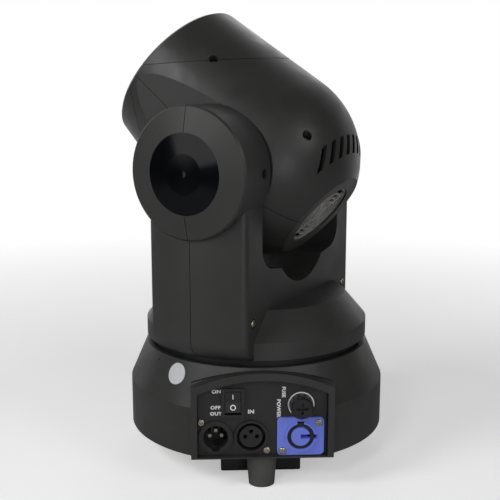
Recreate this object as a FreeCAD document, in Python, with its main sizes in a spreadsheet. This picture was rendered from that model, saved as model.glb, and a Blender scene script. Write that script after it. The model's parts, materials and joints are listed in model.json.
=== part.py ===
import FreeCAD, Part
import math
import os
import re
import Sketcher

V = FreeCAD.Vector
Rotation = FreeCAD.Rotation
Placement = FreeCAD.Placement

# Driving sizes in millimetres and degrees, measured on the real light
SIZES = {
    # Base housing
    "foot_height": 22.5,
    "foot_top_radius": 10.5,
    "foot_tip_radius": 8.75,
    "foot_circle": 73,
    "base_radius": 92.3,
    "base_wall": 2.8,
    "shoulder_rise": 33.5,
    "cone_rise": 27.2,
    "lip_inset": 11.9,
    "lip_depth": 3,
    "plate_thickness": 2,
    "fit_gap": 0.3,
    "run_gap": 0.05,
    # Connector console
    "console_width": 94.6,
    "console_setback": 6.3,
    "console_bury": 1.5,
    "console_wall": 4.1,
    "console_rise": 58.9,
    "console_crown": 10.5,
    "console_rim": 5.1,
    "console_sill": 1,
    "recess_depth": 4,
    "ledge_width": 1.5,
    "panel_thickness": 2,
    # Connectors, each at its place on the panel
    "socket_height": 36.8,
    "output_offset": -31,
    "input_offset": -7.6,
    "socket_radius": 10.5,
    "socket_flange_radius": 11.3,
    "socket_flange": 1.7,
    "socket_length": 20,
    "cup_radius": 8.15,
    "cup_depth": 13,
    "insert_radius": 7.55,
    "insert_bore_radius": 9.55,
    "pin_radius": 1.2,
    "pin_length": 11,
    "pin_offset": 3.9,
    "pin_rise": 3.6,
    "inlet_offset": 25.2,
    "inlet_height": 36.9,
    "inlet_width": 31,
    "inlet_tall": 26,
    "inlet_corner": 3,
    "inlet_flange": 2,
    "inlet_ring_radius": 10.55,
    "inlet_bore_radius": 9,
    "inlet_core_radius": 6.3,
    "inlet_body_radius": 10.5,
    "inlet_length": 24,
    "inlet_depth": 13,
    "fuse_offset": 25.4,
    "fuse_height": 58.8,
    "fuse_body_radius": 6.2,
    "fuse_flange_radius": 8.8,
    "fuse_flange": 1.4,
    "fuse_bore_radius": 4.8,
    "fuse_length": 22,
    "fuse_cap_radius": 7.6,
    "fuse_cap_height": 10.2,
    "fuse_shank": 12,
    "fuse_grip": 0.6,
    "cross_slot": 1.4,
    "switch_offset": -19.5,
    "switch_height": 60.4,
    "switch_width": 15.4,
    "switch_tall": 20,
    "switch_bezel": 1.8,
    "switch_depth": 14,
    "rocker_width": 10.2,
    "rocker_tall": 13.6,
    "rocker_pivot": 4,
    "rocker_pin_radius": 1,
    "rocker_lean": -8,
    # Menu on the far side
    "menu_height": 40,
    "menu_setback": 1.5,
    "menu_width": 66,
    "menu_tall": 21,
    "menu_border": 3,
    "menu_flange": 1.2,
    "window_width": 30,
    "window_tall": 13,
    "window_offset": -14,
    "key_radius": 3,
    "key_flange": 0.4,
    "key_pitch": 7.2,
    "key_first": 7,
    "key_travel": 1,
    # Screws, the same size all over
    "screw_radius": 1.5,
    "screw_length": 7,
    "screw_head_radius": 2.4,
    "screw_head": 1.5,
    "screw_cross": 0.7,
    "screw_floor": 1.6,
    "panel_screw_inset": 6.7,
    "panel_screw_height": 47,
    "panel_screw_rise": 4.5,
    "panel_screw_inner": 2.9,
    "inlet_screw_offset": 12,
    "inlet_screw_rise": 9.6,
    "boss_radius": 3,
    "yoke_screw_offset": 71,
    "yoke_screw_height": 113.2,
    "hub_screw_offset": 67.4,
    # Under the base
    "bracket_length": 123,
    "bracket_width": 55,
    "bracket_sheet": 2.5,
    "bracket_floor": 2.5,
    "bracket_tab": 15,
    "bracket_bend": 4,
    "clamp_hole_radius": 6.5,
    # Pan drive
    "shaft_radius": 20,
    "shaft_bore_radius": 14,
    "bearing_radius": 28,
    "bearing_height": 9,
    "pan_wheel_radius": 32,
    "pan_wheel_width": 9,
    "pan_wheel_drop": 5,
    "pinion_radius": 6.4,
    "belt_thickness": 1.5,
    "belt_width": 6,
    "motor_side": 35,
    "motor_shaft_radius": 2.5,
    "pan_motor_offset": -58,
    "pan_motor_depth": 8,
    # Turntable and fork
    "yoke_turn": 238,
    "turn_gap": 4.8,
    "turntable_radius": 80.1,
    "turntable_wall": 2.4,
    "band_height": 11.7,
    "dome_rise": 18.3,
    "dome_radius": 64.5,
    "collar_radius": 75.5,
    "tilt_rise": 92.5,
    "arm_flare": 8.3,
    "arm_half_width": 37.4,
    "arm_tuck": 12,
    "arm_corner": 5,
    "arm_wall": 2.6,
    "bridge_half": 51.7,
    "fork_half_gap": 59.2,
    "fork_floor_rise": 10.6,
    "pocket_radius": 42,
    "pocket_half": 31.5,
    "shelf_half": 46,
    "shelf_rise": 27.2,
    "fork_bend_rise": 43.5,
    "hub_radius": 43.2,
    "hub_face": 90.7,
    "hub_edge": 1.5,
    "hub_cone": 3.4,
    "badge_radius": 26.2,
    "badge_depth": 1.6,
    "badge_dome": 0.9,
    "frame_sheet": 2,
    "frame_half_width": 22,
    "frame_half_gap": 63,
    "frame_rise": 22,
    "tilt_bearing_radius": 16,
    "journal_radius": 10,
    "journal_bore_radius": 6.5,
    "tilt_wheel_radius": 20,
    "tilt_motor_drop": 62,
    "tilt_motor_length": 13,
    # Head
    "head_lean": 50,
    "optic_offset": 6.5,
    "head_wall": 2.5,
    "cheek_half_width": 56.6,
    "rim_radius": 56.2,
    "rim_reach": 89.9,
    "rim_land": 4.5,
    "rim_round": 2,
    "waist_radius": 66.5,
    "waist_reach": 3,
    "rear_radius": 35,
    "rear_reach": -61.3,
    "hood_start": 97.3,
    "hood_slope": 1.06,
    "seam_width": 0.45,
    "seam_depth": 0.6,
    "well_radius": 3.2,
    "well_depth": 7,
    "hood_hole_reach": 53,
    "hood_hole_angle": 45,
    "rear_hole_reach": -30,
    "rear_hole_angle": 38,
    "vent_count": 8,
    "vent_pitch": 8.8,
    "vent_width": 4.2,
    "vent_top": -40.5,
    "vent_foot": -50.5,
    "vent_slant": 5,
    "lens_radius": 46,
    "lens_reach": 78,
    "lens_edge": 4,
    "lens_crown": 8,
    "barrel_wall": 1.6,
    "barrel_foot_radius": 16,
    "grille_radius": 25,
    "grille_recess": 1.4,
    "grille_thickness": 1.8,
    "grille_ring": 1.6,
    "grille_hub_radius": 7,
    "fan_side": 50,
    "fan_depth": 11,
    "fan_corner": 5,
    "fan_bore_radius": 23.6,
    "fan_hub_radius": 9.5,
    "fan_pin_radius": 1.5,
    "sink_radius": 40,
    "sink_base": 5,
    "sink_reach": -14,
    "sink_fin_length": 26,
    "sink_fin_thickness": 2,
    "sink_fin_pitch": 7,
    "led_side": 30,
    "led_thickness": 1.6,
    "chassis_sheet": 2,
    "chassis_half_gap": 50,
    "chassis_width": 50,
}

# Sizes that follow from the others
LINKED = {
    "lip_radius": "base_radius - lip_inset",
    "console_front": "base_radius - console_setback",
    "console_depth": "console_front - sqrt((base_radius - console_bury) ^ 2 - console_width ^ 2 / 4)",
    "menu_face": "base_radius - menu_setback",
    "panel_screw_offset": "console_width / 2 - panel_screw_inset",
    "panel_screw_low": "foot_height + panel_screw_rise",
    "arm_radius": "turntable_radius + arm_flare",
}

# Heights above the floor that several pieces share
SHOULDER = "(foot_height + shoulder_rise)"
LIP = "(foot_height + shoulder_rise + cone_rise)"
DECK = f"({LIP} - lip_depth)"
TABLE = f"({LIP} + turn_gap)"
BAND = f"({TABLE} + band_height)"
DOME = f"({BAND} + dome_rise)"
TILT = f"({DOME} + tilt_rise)"
BEARING_FOOT = f"({DECK} - bearing_height)"
WHEEL_TOP = f"({BEARING_FOOT} - pan_wheel_drop)"
WHEEL_FOOT = f"({WHEEL_TOP} - pan_wheel_width)"
FRAME_FLOOR = f"({TABLE} + 7.5)"
PANEL_FACE = "(console_front - recess_depth)"
CROWN_RADIUS = "(console_width ^ 2 / (8 * console_crown) + console_crown / 2)"
CROWN_CENTRE = f"(foot_height + console_rise - {CROWN_RADIUS})"

doc = FreeCAD.newDocument("MovingHead")
sheet = doc.addObject("Spreadsheet::Sheet", "Sizes")
for row, alias in enumerate([*SIZES, *LINKED], start=1):
    sheet.set(f"A{row}", alias.replace("_", " "))
    sheet.setAlias(f"B{row}", alias)
    sheet.set(f"B{row}", f"={LINKED[alias]}" if alias in LINKED else str(SIZES[alias]))
doc.recompute()

NODES = []


def bound(text):
    """Return an expression in which every size name is read from the sheet."""
    known = SIZES.keys() | LINKED.keys()
    return re.sub(r"[a-z_]+", lambda m: "Sizes." + m[0] if m[0] in known else m[0], text)


def size(text):
    """Return the number that an expression on the sheet's sizes comes to."""
    return float(sheet.evalExpression(bound(text)))


def keep(piece, label, placement=None):
    """Name a finished piece, place it and list it for export."""
    piece.Label = label
    if placement is not None:
        piece.Placement = placement
    NODES.append(piece)
    return piece


# Places that groups of pieces share
YOKE = Placement(V(0, 0, 0), Rotation(V(0, 0, 1), size("yoke_turn")))
AXIS = YOKE * Placement(V(0, 0, size(TILT)), Rotation())
HEAD = AXIS * Placement(V(0, 0, 0), Rotation(V(1, 0, 0), size("head_lean")))
OUTWARD = Rotation(V(1, 0, 0), 90)


def on_panel(across, height):
    """Return the place of a connector, with its own Z pointing out of the panel."""
    return Placement(V(size(across), -size(PANEL_FACE), size(height)), OUTWARD)


def on_menu(across):
    """Return a place on the menu face, with its own Z pointing out of it."""
    turn = Rotation(V(0, 0, 1), 180) * OUTWARD
    return Placement(V(-size(across), size("menu_face"), size("menu_height")), turn)


# Sketch helpers
def new_body(name):
    return doc.addObject("PartDesign::Body", name)


def new_sketch(body, role, lift="0"):
    """Attach a sketch to one of the body's own planes, lifted along its normal."""
    drawing = body.newObject("Sketcher::SketchObject", body.Name + "Sketch")
    plane = [f for f in body.Origin.OriginFeatures if f.Role == role][0]
    drawing.AttachmentSupport = (plane, [""])
    drawing.MapMode = "FlatFace"
    drawing.AttachmentOffset = Placement(V(0, 0, size(lift)), Rotation())
    drawing.setExpression("AttachmentOffset.Base.z", bound(lift))
    return drawing


def tie(drawing, kind, item, end, text):
    """Hold one coordinate of a point at a named size."""
    place = drawing.addConstraint(Sketcher.Constraint(kind, -1, 1, item, end, size(text)))
    drawing.setExpression(f"Constraints[{place}]", bound(text))


def arc_middle(start, end, radius, side):
    """Return the middle point of an arc that bulges to one side of its chord."""
    chord = end - start
    half = chord.Length / 2
    sag = radius - math.sqrt(max(radius ** 2 - half ** 2, 0))
    normal = V(-chord.y, chord.x, 0).normalize() * side
    return (start + end) * 0.5 + normal * sag


def outline(drawing, corners, arcs=None):
    """Draw a closed outline through corners given as pairs of expressions.

    arcs maps a corner's number to (radius, side) of the arc that leaves it.
    """
    arcs = arcs or {}
    points = [V(size(x), size(y), 0) for x, y in corners]
    count = len(points)
    first = drawing.GeometryCount
    ends = []
    for i, start in enumerate(points):
        end = points[(i + 1) % count]
        if i in arcs:
            radius, side = arcs[i]
            middle = arc_middle(start, end, size(radius), side)
            number = drawing.addGeometry(Part.Arc(start, middle, end))
            flipped = drawing.getPoint(number, 1).distanceToPoint(start) > 1e-6
            ends.append((number, 2, 1) if flipped else (number, 1, 2))
        else:
            number = drawing.addGeometry(Part.LineSegment(start, end))
            ends.append((number, 1, 2))
    for i, (number, head, tail) in enumerate(ends):
        follower, follower_head, follower_tail = ends[(i + 1) % count]
        drawing.addConstraint(Sketcher.Constraint("Coincident", number, tail, follower, follower_head))
    for i, (x, y) in enumerate(corners):
        number, head, tail = ends[i]
        tie(drawing, "DistanceX", number, head, x)
        tie(drawing, "DistanceY", number, head, y)
        if i in arcs:
            radius, side = arcs[i]
            place = drawing.addConstraint(Sketcher.Constraint("Radius", number, size(radius)))
            drawing.setExpression(f"Constraints[{place}]", bound(radius))
    return first


def ring(drawing, x, y, radius):
    """Draw a circle with its centre and radius at named sizes."""
    centre = V(size(x), size(y), 0)
    number = drawing.addGeometry(Part.Circle(centre, V(0, 0, 1), size(radius)))
    tie(drawing, "DistanceX", number, 3, x)
    tie(drawing, "DistanceY", number, 3, y)
    place = drawing.addConstraint(Sketcher.Constraint("Radius", number, size(radius)))
    drawing.setExpression(f"Constraints[{place}]", bound(radius))


def box_outline(drawing, left, right, low, high):
    outline(drawing, [(left, low), (right, low), (right, high), (left, high)])


def turn(body, drawing, axis="V_Axis"):
    feature = body.newObject("PartDesign::Revolution", body.Name + "Turned")
    feature.Profile = drawing
    feature.ReferenceAxis = (drawing, [axis])
    feature.Angle = 360
    doc.recompute()
    return feature


def pad(body, drawing, length, both=False, back=False):
    feature = body.newObject("PartDesign::Pad", body.Name + "Pad")
    feature.Profile = drawing
    feature.Midplane = both
    feature.Reversed = back
    feature.setExpression("Length", bound(length))
    doc.recompute()
    return feature


def pocket(body, drawing, length, both=False, back=False):
    """Cut a pocket and check that it takes material away."""
    before = body.Shape.Volume
    feature = body.newObject("PartDesign::Pocket", body.Name + "Pocket")
    feature.Profile = drawing
    feature.Midplane = both
    feature.Reversed = back
    feature.setExpression("Length", bound(length))
    doc.recompute()
    if body.Shape.Volume >= before - 1e-6:
        raise RuntimeError(f"{body.Name}: a pocket cut nothing")
    return feature


def round_edges(body, radius, wanted):
    """Fillet the edges of the body's tip that pass a test."""
    base = body.Tip
    names = [f"Edge{i}" for i, edge in enumerate(base.Shape.Edges, start=1) if wanted(edge)]
    if not names:
        raise RuntimeError(f"{body.Name}: no edge to round")
    feature = body.newObject("PartDesign::Fillet", body.Name + "Round")
    feature.Base = (base, names)
    feature.setExpression("Radius", bound(radius))
    doc.recompute()
    return feature


def is_upright(edge):
    """Say whether an edge runs along its body's own Z."""
    return abs(edge.tangentAt(edge.FirstParameter).z) > 0.9


def turned(name, corners, placement=None, arcs=None, axis="V_Axis"):
    """Make a body by turning an outline, with X as the radius on the XZ plane."""
    body = new_body(name)
    drawing = new_sketch(body, "XZ_Plane")
    outline(drawing, corners, arcs)
    turn(body, drawing, axis)
    return keep(body, name, placement)


def solid_feature(name, shape, placement=None):
    """Keep a shape made by Part's own functions as a piece."""
    piece = doc.addObject("Part::Feature", name)
    piece.Shape = shape
    return keep(piece, name, placement)


def fused(name, pieces, placement=None):
    """Join document objects into one piece."""
    piece = doc.addObject("Part::MultiFuse", name)
    piece.Shapes = pieces
    doc.recompute()
    return keep(piece, name, placement)


def block(name, x, y, z, length, width, height):
    """Make a box from expressions for its low corner and its sides."""
    piece = doc.addObject("Part::Box", name)
    for part, text in (("Length", length), ("Width", width), ("Height", height)):
        piece.setExpression(part, bound(text))
    for part, text in (("x", x), ("y", y), ("z", z)):
        piece.setExpression(f"Placement.Base.{part}", bound(text))
    return piece


def rod(name, x, y, z, radius, height, direction=None):
    """Make a cylinder from expressions for its foot, radius and height."""
    piece = doc.addObject("Part::Cylinder", name)
    piece.setExpression("Radius", bound(radius))
    piece.setExpression("Height", bound(height))
    if direction is not None:
        piece.Placement = Placement(V(0, 0, 0), Rotation(V(0, 0, 1), direction))
    for part, text in (("x", x), ("y", y), ("z", z)):
        piece.setExpression(f"Placement.Base.{part}", bound(text))
    return piece


# Base housing
def arch(drawing, inset, rim, sill):
    """Draw the console's outline: upright sides under a shallow crown."""
    half = f"(console_width / 2 - {inset})"
    low = f"(foot_height + {sill})"
    radius = f"({CROWN_RADIUS} - {rim})"
    side = f"({CROWN_CENTRE} + sqrt({radius} ^ 2 - {half} ^ 2))"
    corners = [(f"-{half}", low), (half, low), (half, side), (f"-{half}", side)]
    outline(drawing, corners, {2: (radius, -1)})


def make_base_shell():
    body = new_body("base_shell")
    drawing = new_sketch(body, "XZ_Plane")
    outline(drawing, [
        ("base_radius", "foot_height"),
        ("base_radius", SHOULDER),
        ("lip_radius", LIP),
        ("lip_radius - base_wall", LIP),
        ("lip_radius - base_wall", DECK),
        ("bearing_radius", DECK),
        ("bearing_radius", BEARING_FOOT),
        ("bearing_radius + base_wall", BEARING_FOOT),
        ("bearing_radius + base_wall", f"{DECK} - base_wall"),
        ("lip_radius - base_wall", f"{DECK} - base_wall"),
        ("base_radius - base_wall", f"{SHOULDER} - base_wall / 2"),
        ("base_radius - base_wall", "foot_height"),
    ])
    turn(body, drawing)
    block_out = new_sketch(body, "XZ_Plane", "console_front - console_depth")
    arch(block_out, "0", "0", "0")
    pad(body, block_out, "console_depth")
    face = new_sketch(body, "XZ_Plane", "base_radius + 2")
    arch(face, "0", "0", "-1")
    pocket(body, face, "base_radius + 2 - console_front")
    recess = new_sketch(body, "XZ_Plane", "base_radius + 2")
    arch(recess, "console_wall", "console_rim", "console_sill")
    pocket(body, recess, f"base_radius + 2 - {PANEL_FACE} + panel_thickness")
    through = new_sketch(body, "XZ_Plane", "base_radius + 2")
    arch(through, "(console_wall + ledge_width)", "(console_rim + ledge_width)",
         "(console_sill + ledge_width)")
    pocket(body, through, "base_radius + 2 - console_front + console_depth + 6")
    posts = new_sketch(body, "XZ_Plane", f"{PANEL_FACE} - panel_thickness")
    for x, z in PANEL_SCREWS:
        ring(posts, x, z, "boss_radius")
    pad(body, posts, "screw_length", back=True)
    bores = new_sketch(body, "XZ_Plane", f"{PANEL_FACE} - panel_thickness")
    for x, z in PANEL_SCREWS:
        ring(bores, x, z, "screw_radius + run_gap")
    pocket(body, bores, "screw_length + 2")
    boss = new_sketch(body, "XZ_Plane", "-menu_face")
    half = "(menu_width / 2 + menu_border)"
    tall = "(menu_tall / 2 + menu_border)"
    box_outline(boss, f"-{half}", half, f"menu_height - {tall}", f"menu_height + {tall}")
    pad(body, boss, "menu_face - base_radius + base_wall + 7")
    front = new_sketch(body, "XZ_Plane", "-(base_radius + 2)")
    box_outline(front, f"-{half}", half, f"menu_height - {tall}", f"menu_height + {tall}")
    pocket(body, front, "base_radius + 2 - menu_face", back=True)
    hole = new_sketch(body, "XZ_Plane", "-(base_radius + 2)")
    half = "(menu_width / 2)"
    tall = "(menu_tall / 2)"
    box_outline(hole, f"-{half}", half, f"menu_height - {tall}", f"menu_height + {tall}")
    pocket(body, hole, "base_radius + 2 - menu_face + 20", back=True)
    return keep(body, "base_shell")


def make_base_plate():
    body = new_body("base_plate")
    drawing = new_sketch(body, "XY_Plane", "foot_height")
    ring(drawing, "0", "0", "base_radius - base_wall - fit_gap")
    pad(body, drawing, "plate_thickness")
    notch = new_sketch(body, "XY_Plane", "foot_height + plate_thickness")
    half = "(console_width / 2 + fit_gap)"
    box_outline(notch, f"-{half}", half, "-base_radius - 1",
                "console_depth - console_front + fit_gap")
    pocket(body, notch, "plate_thickness + 1")
    return keep(body, "base_plate")


def make_feet():
    """Three tapered feet, one behind the console and two in front."""
    feet = []
    for i in range(3):
        foot = doc.addObject("Part::Cone", f"foot_{'abc'[i]}")
        foot.setExpression("Radius1", bound("foot_tip_radius"))
        foot.setExpression("Radius2", bound("foot_top_radius"))
        foot.setExpression("Height", bound("foot_height"))
        angle = -90 + 120 * i
        foot.setExpression("Placement.Base.x", bound(f"foot_circle * cos({angle})"))
        foot.setExpression("Placement.Base.y", bound(f"foot_circle * sin({angle})"))
        feet.append(foot)
    fused("rubber_feet", feet)


def make_bracket():
    body = new_body("hanging_bracket")
    half = "(bracket_length / 2)"
    low = "bracket_floor"
    drawing = new_sketch(body, "YZ_Plane")
    right = [
        (half, low),
        (half, "foot_height"),
        (f"{half} - bracket_tab", "foot_height"),
        (f"{half} - bracket_tab", "foot_height - bracket_sheet"),
        (f"{half} - bracket_sheet", "foot_height - bracket_sheet"),
        (f"{half} - bracket_sheet", f"{low} + bracket_sheet"),
    ]
    left = [(f"-({y})", z) for y, z in reversed(right)]
    outline(drawing, right + left)
    pad(body, drawing, "bracket_width", both=True)
    hole = new_sketch(body, "XY_Plane", "bracket_floor + bracket_sheet + 1")
    ring(hole, "0", "0", "clamp_hole_radius")
    pocket(body, hole, "bracket_sheet + 2")
    reach = size(half) - 0.01
    floor = size(low) + 0.01
    round_edges(body, "bracket_bend / 2", lambda edge: all(
        abs(p.Point.y) > reach and p.Point.z < floor for p in edge.Vertexes))
    return keep(body, "hanging_bracket")


PANEL_SCREWS = [("-panel_screw_offset", "panel_screw_height"),
                ("panel_screw_inner", "panel_screw_low")]
INLET_SCREWS = [("inlet_offset + inlet_screw_offset", "inlet_height + inlet_screw_rise"),
                ("inlet_offset - inlet_screw_offset", "inlet_height - inlet_screw_rise")]


def make_panel_screws():
    """The screws of the panel and of the inlet's flange, heads outwards."""
    face = -size(PANEL_FACE)
    places = [(V(size(x), face, size(z)), V(0, -1, 0)) for x, z in PANEL_SCREWS]
    face -= size("inlet_flange")
    places += [(V(size(x), face, size(z)), V(0, -1, 0)) for x, z in INLET_SCREWS]
    keep_screws("panel_screws", places)


def make_panel():
    body = new_body("connector_panel")
    drawing = new_sketch(body, "XY_Plane")
    arch(drawing, "(console_wall + fit_gap)", "(console_rim + fit_gap)", "(console_sill + fit_gap)")
    pad(body, drawing, "panel_thickness", back=True)
    holes = new_sketch(body, "XY_Plane", "1")
    ring(holes, "output_offset", "socket_height", "socket_radius + run_gap")
    ring(holes, "input_offset", "socket_height", "socket_radius + run_gap")
    ring(holes, "inlet_offset", "inlet_height", "inlet_body_radius + run_gap")
    ring(holes, "fuse_offset", "fuse_height", "fuse_body_radius + run_gap")
    for x, y in PANEL_SCREWS + INLET_SCREWS:
        ring(holes, x, y, "screw_radius + run_gap")
    wide = "(switch_width / 2 - 1.3)"
    tall = "(switch_tall / 2 - 1.3)"
    box_outline(holes, f"switch_offset - {wide}", f"switch_offset + {wide}",
                f"switch_height - {tall}", f"switch_height + {tall}")
    pocket(body, holes, "panel_thickness + 2")
    return keep(body, "connector_panel", on_panel("0", "0"))


def make_output_socket():
    body = new_body("output_socket")
    drawing = new_sketch(body, "XZ_Plane")
    outline(drawing, [
        ("0", "-socket_length"),
        ("socket_radius", "-socket_length"),
        ("socket_radius", "0"),
        ("socket_flange_radius", "0"),
        ("socket_flange_radius", "socket_flange"),
        ("cup_radius", "socket_flange"),
        ("cup_radius", "-cup_depth"),
        ("0", "-cup_depth"),
    ])
    turn(body, drawing)
    notch = new_sketch(body, "XY_Plane", "socket_flange")
    box_outline(notch, "-2.3", "2.3", "-cup_radius - 1.7", "-cup_radius + 1")
    pocket(body, notch, "socket_flange + 4")
    keep(body, "output_socket", on_panel("output_offset", "socket_height"))
    pins = []
    for name, x, y in (("pin_a", "-pin_offset", "0"), ("pin_b", "pin_offset", "0"),
                       ("pin_c", "0", "pin_rise")):
        pins.append(rod(name, x, y, "-cup_depth", "pin_radius", "pin_length"))
    fused("output_pins", pins, on_panel("output_offset", "socket_height"))


def make_input_socket():
    body = new_body("input_socket")
    drawing = new_sketch(body, "XZ_Plane")
    outline(drawing, [
        ("0", "-socket_length"),
        ("socket_radius", "-socket_length"),
        ("socket_radius", "0"),
        ("socket_flange_radius", "0"),
        ("socket_flange_radius", "socket_flange"),
        ("insert_bore_radius", "socket_flange"),
        ("insert_bore_radius", "-cup_depth / 2"),
        ("insert_radius", "-cup_depth / 2"),
        ("insert_radius", "socket_flange / 2"),
        ("0", "socket_flange / 2"),
    ])
    turn(body, drawing)
    holes = new_sketch(body, "XY_Plane", "socket_flange / 2")
    ring(holes, "-pin_offset", "0", "pin_radius + 0.2")
    ring(holes, "pin_offset", "0", "pin_radius + 0.2")
    ring(holes, "0", "pin_rise", "pin_radius + 0.2")
    pocket(body, holes, "cup_depth / 2")
    return keep(body, "input_socket", on_panel("input_offset", "socket_height"))


def make_inlet():
    body = new_body("power_inlet")
    flange = new_sketch(body, "XY_Plane")
    wide = "(inlet_width / 2)"
    tall = "(inlet_tall / 2)"
    box_outline(flange, f"-{wide}", wide, f"-{tall}", tall)
    pad(body, flange, "inlet_flange")
    round_edges(body, "inlet_corner", is_upright)
    ears = new_sketch(body, "XY_Plane", "inlet_flange + 1")
    ring(ears, "inlet_screw_offset", "inlet_screw_rise", "screw_radius + run_gap")
    ring(ears, "-inlet_screw_offset", "-inlet_screw_rise", "screw_radius + run_gap")
    pocket(body, ears, "inlet_flange + 2")
    rear = new_sketch(body, "XY_Plane")
    ring(rear, "0", "0", "inlet_body_radius")
    pad(body, rear, "inlet_length", back=True)
    collar = new_sketch(body, "XY_Plane", "inlet_flange")
    ring(collar, "0", "0", "inlet_ring_radius")
    pad(body, collar, "1")
    bore = new_sketch(body, "XY_Plane", "inlet_flange + 1")
    ring(bore, "0", "0", "inlet_bore_radius")
    ring(bore, "0", "0", "inlet_core_radius")
    pocket(body, bore, "inlet_depth")
    keys = new_sketch(body, "XY_Plane", "inlet_flange + 1")
    box_outline(keys, "-2.2", "2.2", "inlet_bore_radius - 1", "inlet_bore_radius + 1.5")
    box_outline(keys, "inlet_bore_radius - 1", "inlet_bore_radius + 1.5", "-1.6", "1.6")
    pocket(body, keys, "inlet_depth / 2")
    contact = new_sketch(body, "XY_Plane", "inlet_flange + 1")
    box_outline(contact, "0", "inlet_core_radius + 1", "-1.3", "1.7")
    pocket(body, contact, "inlet_depth / 2")
    return keep(body, "power_inlet", on_panel("inlet_offset", "inlet_height"))


def make_fuse():
    turned("fuse_holder", [
        ("0", "-fuse_length"),
        ("fuse_body_radius", "-fuse_length"),
        ("fuse_body_radius", "0"),
        ("fuse_flange_radius", "0"),
        ("fuse_flange_radius", "fuse_flange"),
        ("fuse_bore_radius", "fuse_flange"),
        ("fuse_bore_radius", "-fuse_shank - 2"),
        ("0", "-fuse_shank - 2"),
    ], on_panel("fuse_offset", "fuse_height"))
    body = new_body("fuse_cap")
    drawing = new_sketch(body, "XZ_Plane")
    outline(drawing, [
        ("0", "-fuse_shank"),
        ("fuse_bore_radius - run_gap", "-fuse_shank"),
        ("fuse_bore_radius - run_gap", "fuse_flange + fit_gap"),
        ("fuse_cap_radius", "fuse_flange + fit_gap"),
        ("fuse_cap_radius", "fuse_cap_height - 1.5"),
        ("fuse_cap_radius - 1", "fuse_cap_height"),
        ("0", "fuse_cap_height"),
    ])
    turn(body, drawing)
    slot = new_sketch(body, "XY_Plane", "fuse_cap_height")
    long = "(fuse_cap_radius / 2)"
    thin = "(cross_slot / 2)"
    outline(slot, [
        (f"-{long}", f"-{thin}"), (f"-{thin}", f"-{thin}"), (f"-{thin}", f"-{long}"),
        (thin, f"-{long}"), (thin, f"-{thin}"), (long, f"-{thin}"),
        (long, thin), (thin, thin), (thin, long),
        (f"-{thin}", long), (f"-{thin}", thin), (f"-{long}", thin),
    ])
    pocket(body, slot, "2")
    grips = new_sketch(body, "XY_Plane", "fuse_cap_height")
    for i in range(12):
        ring(grips, f"fuse_cap_radius * cos({30 * i + 15})",
             f"fuse_cap_radius * sin({30 * i + 15})", "fuse_grip")
    pocket(body, grips, "fuse_cap_height - fuse_flange - 2")
    return keep(body, "fuse_cap", on_panel("fuse_offset", "fuse_height"))


def make_switch():
    body = new_body("switch_frame")
    bezel = new_sketch(body, "XY_Plane")
    box_outline(bezel, "-switch_width / 2", "switch_width / 2", "-switch_tall / 2", "switch_tall / 2")
    pad(body, bezel, "switch_bezel")
    inner = new_sketch(body, "XY_Plane")
    wide = "(switch_width / 2 - 1.3 - run_gap)"
    tall = "(switch_tall / 2 - 1.3 - run_gap)"
    box_outline(inner, f"-{wide}", wide, f"-{tall}", tall)
    pad(body, inner, "switch_depth", back=True)
    well = new_sketch(body, "XY_Plane", "switch_bezel")
    wide = "(rocker_width / 2 + fit_gap)"
    tall = "(rocker_tall / 2 + 1.2)"
    box_outline(well, f"-{wide}", wide, f"-{tall}", tall)
    pocket(body, well, "switch_depth + switch_bezel - 2")
    pivot = new_sketch(body, "YZ_Plane")
    ring(pivot, "0", "-rocker_pivot", "rocker_pin_radius + run_gap")
    pocket(body, pivot, "rocker_width + 2.4", both=True)
    keep(body, "switch_frame", on_panel("switch_offset", "switch_height"))

    rocker = new_body("switch_rocker")
    side = new_sketch(rocker, "YZ_Plane")
    half = "(rocker_tall / 2)"
    front = "(rocker_pivot + switch_bezel + 0.9)"
    outline(side, [
        (f"-{half}", front),
        (f"-{half} + 1", "-1"),
        ("0", "-3.4"),
        (f"{half} - 1", "-1"),
        (half, front),
        ("0", f"{front} - 1.6"),
    ])
    pad(rocker, side, "rocker_width", both=True)
    pin = new_sketch(rocker, "YZ_Plane")
    ring(pin, "0", "0", "rocker_pin_radius")
    pad(rocker, pin, "rocker_width + 2", both=True)
    place = on_panel("switch_offset", "switch_height")
    place = place * Placement(V(0, 0, -size("rocker_pivot")), Rotation(V(1, 0, 0), size("rocker_lean")))
    keep(rocker, "switch_rocker", place)


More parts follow.
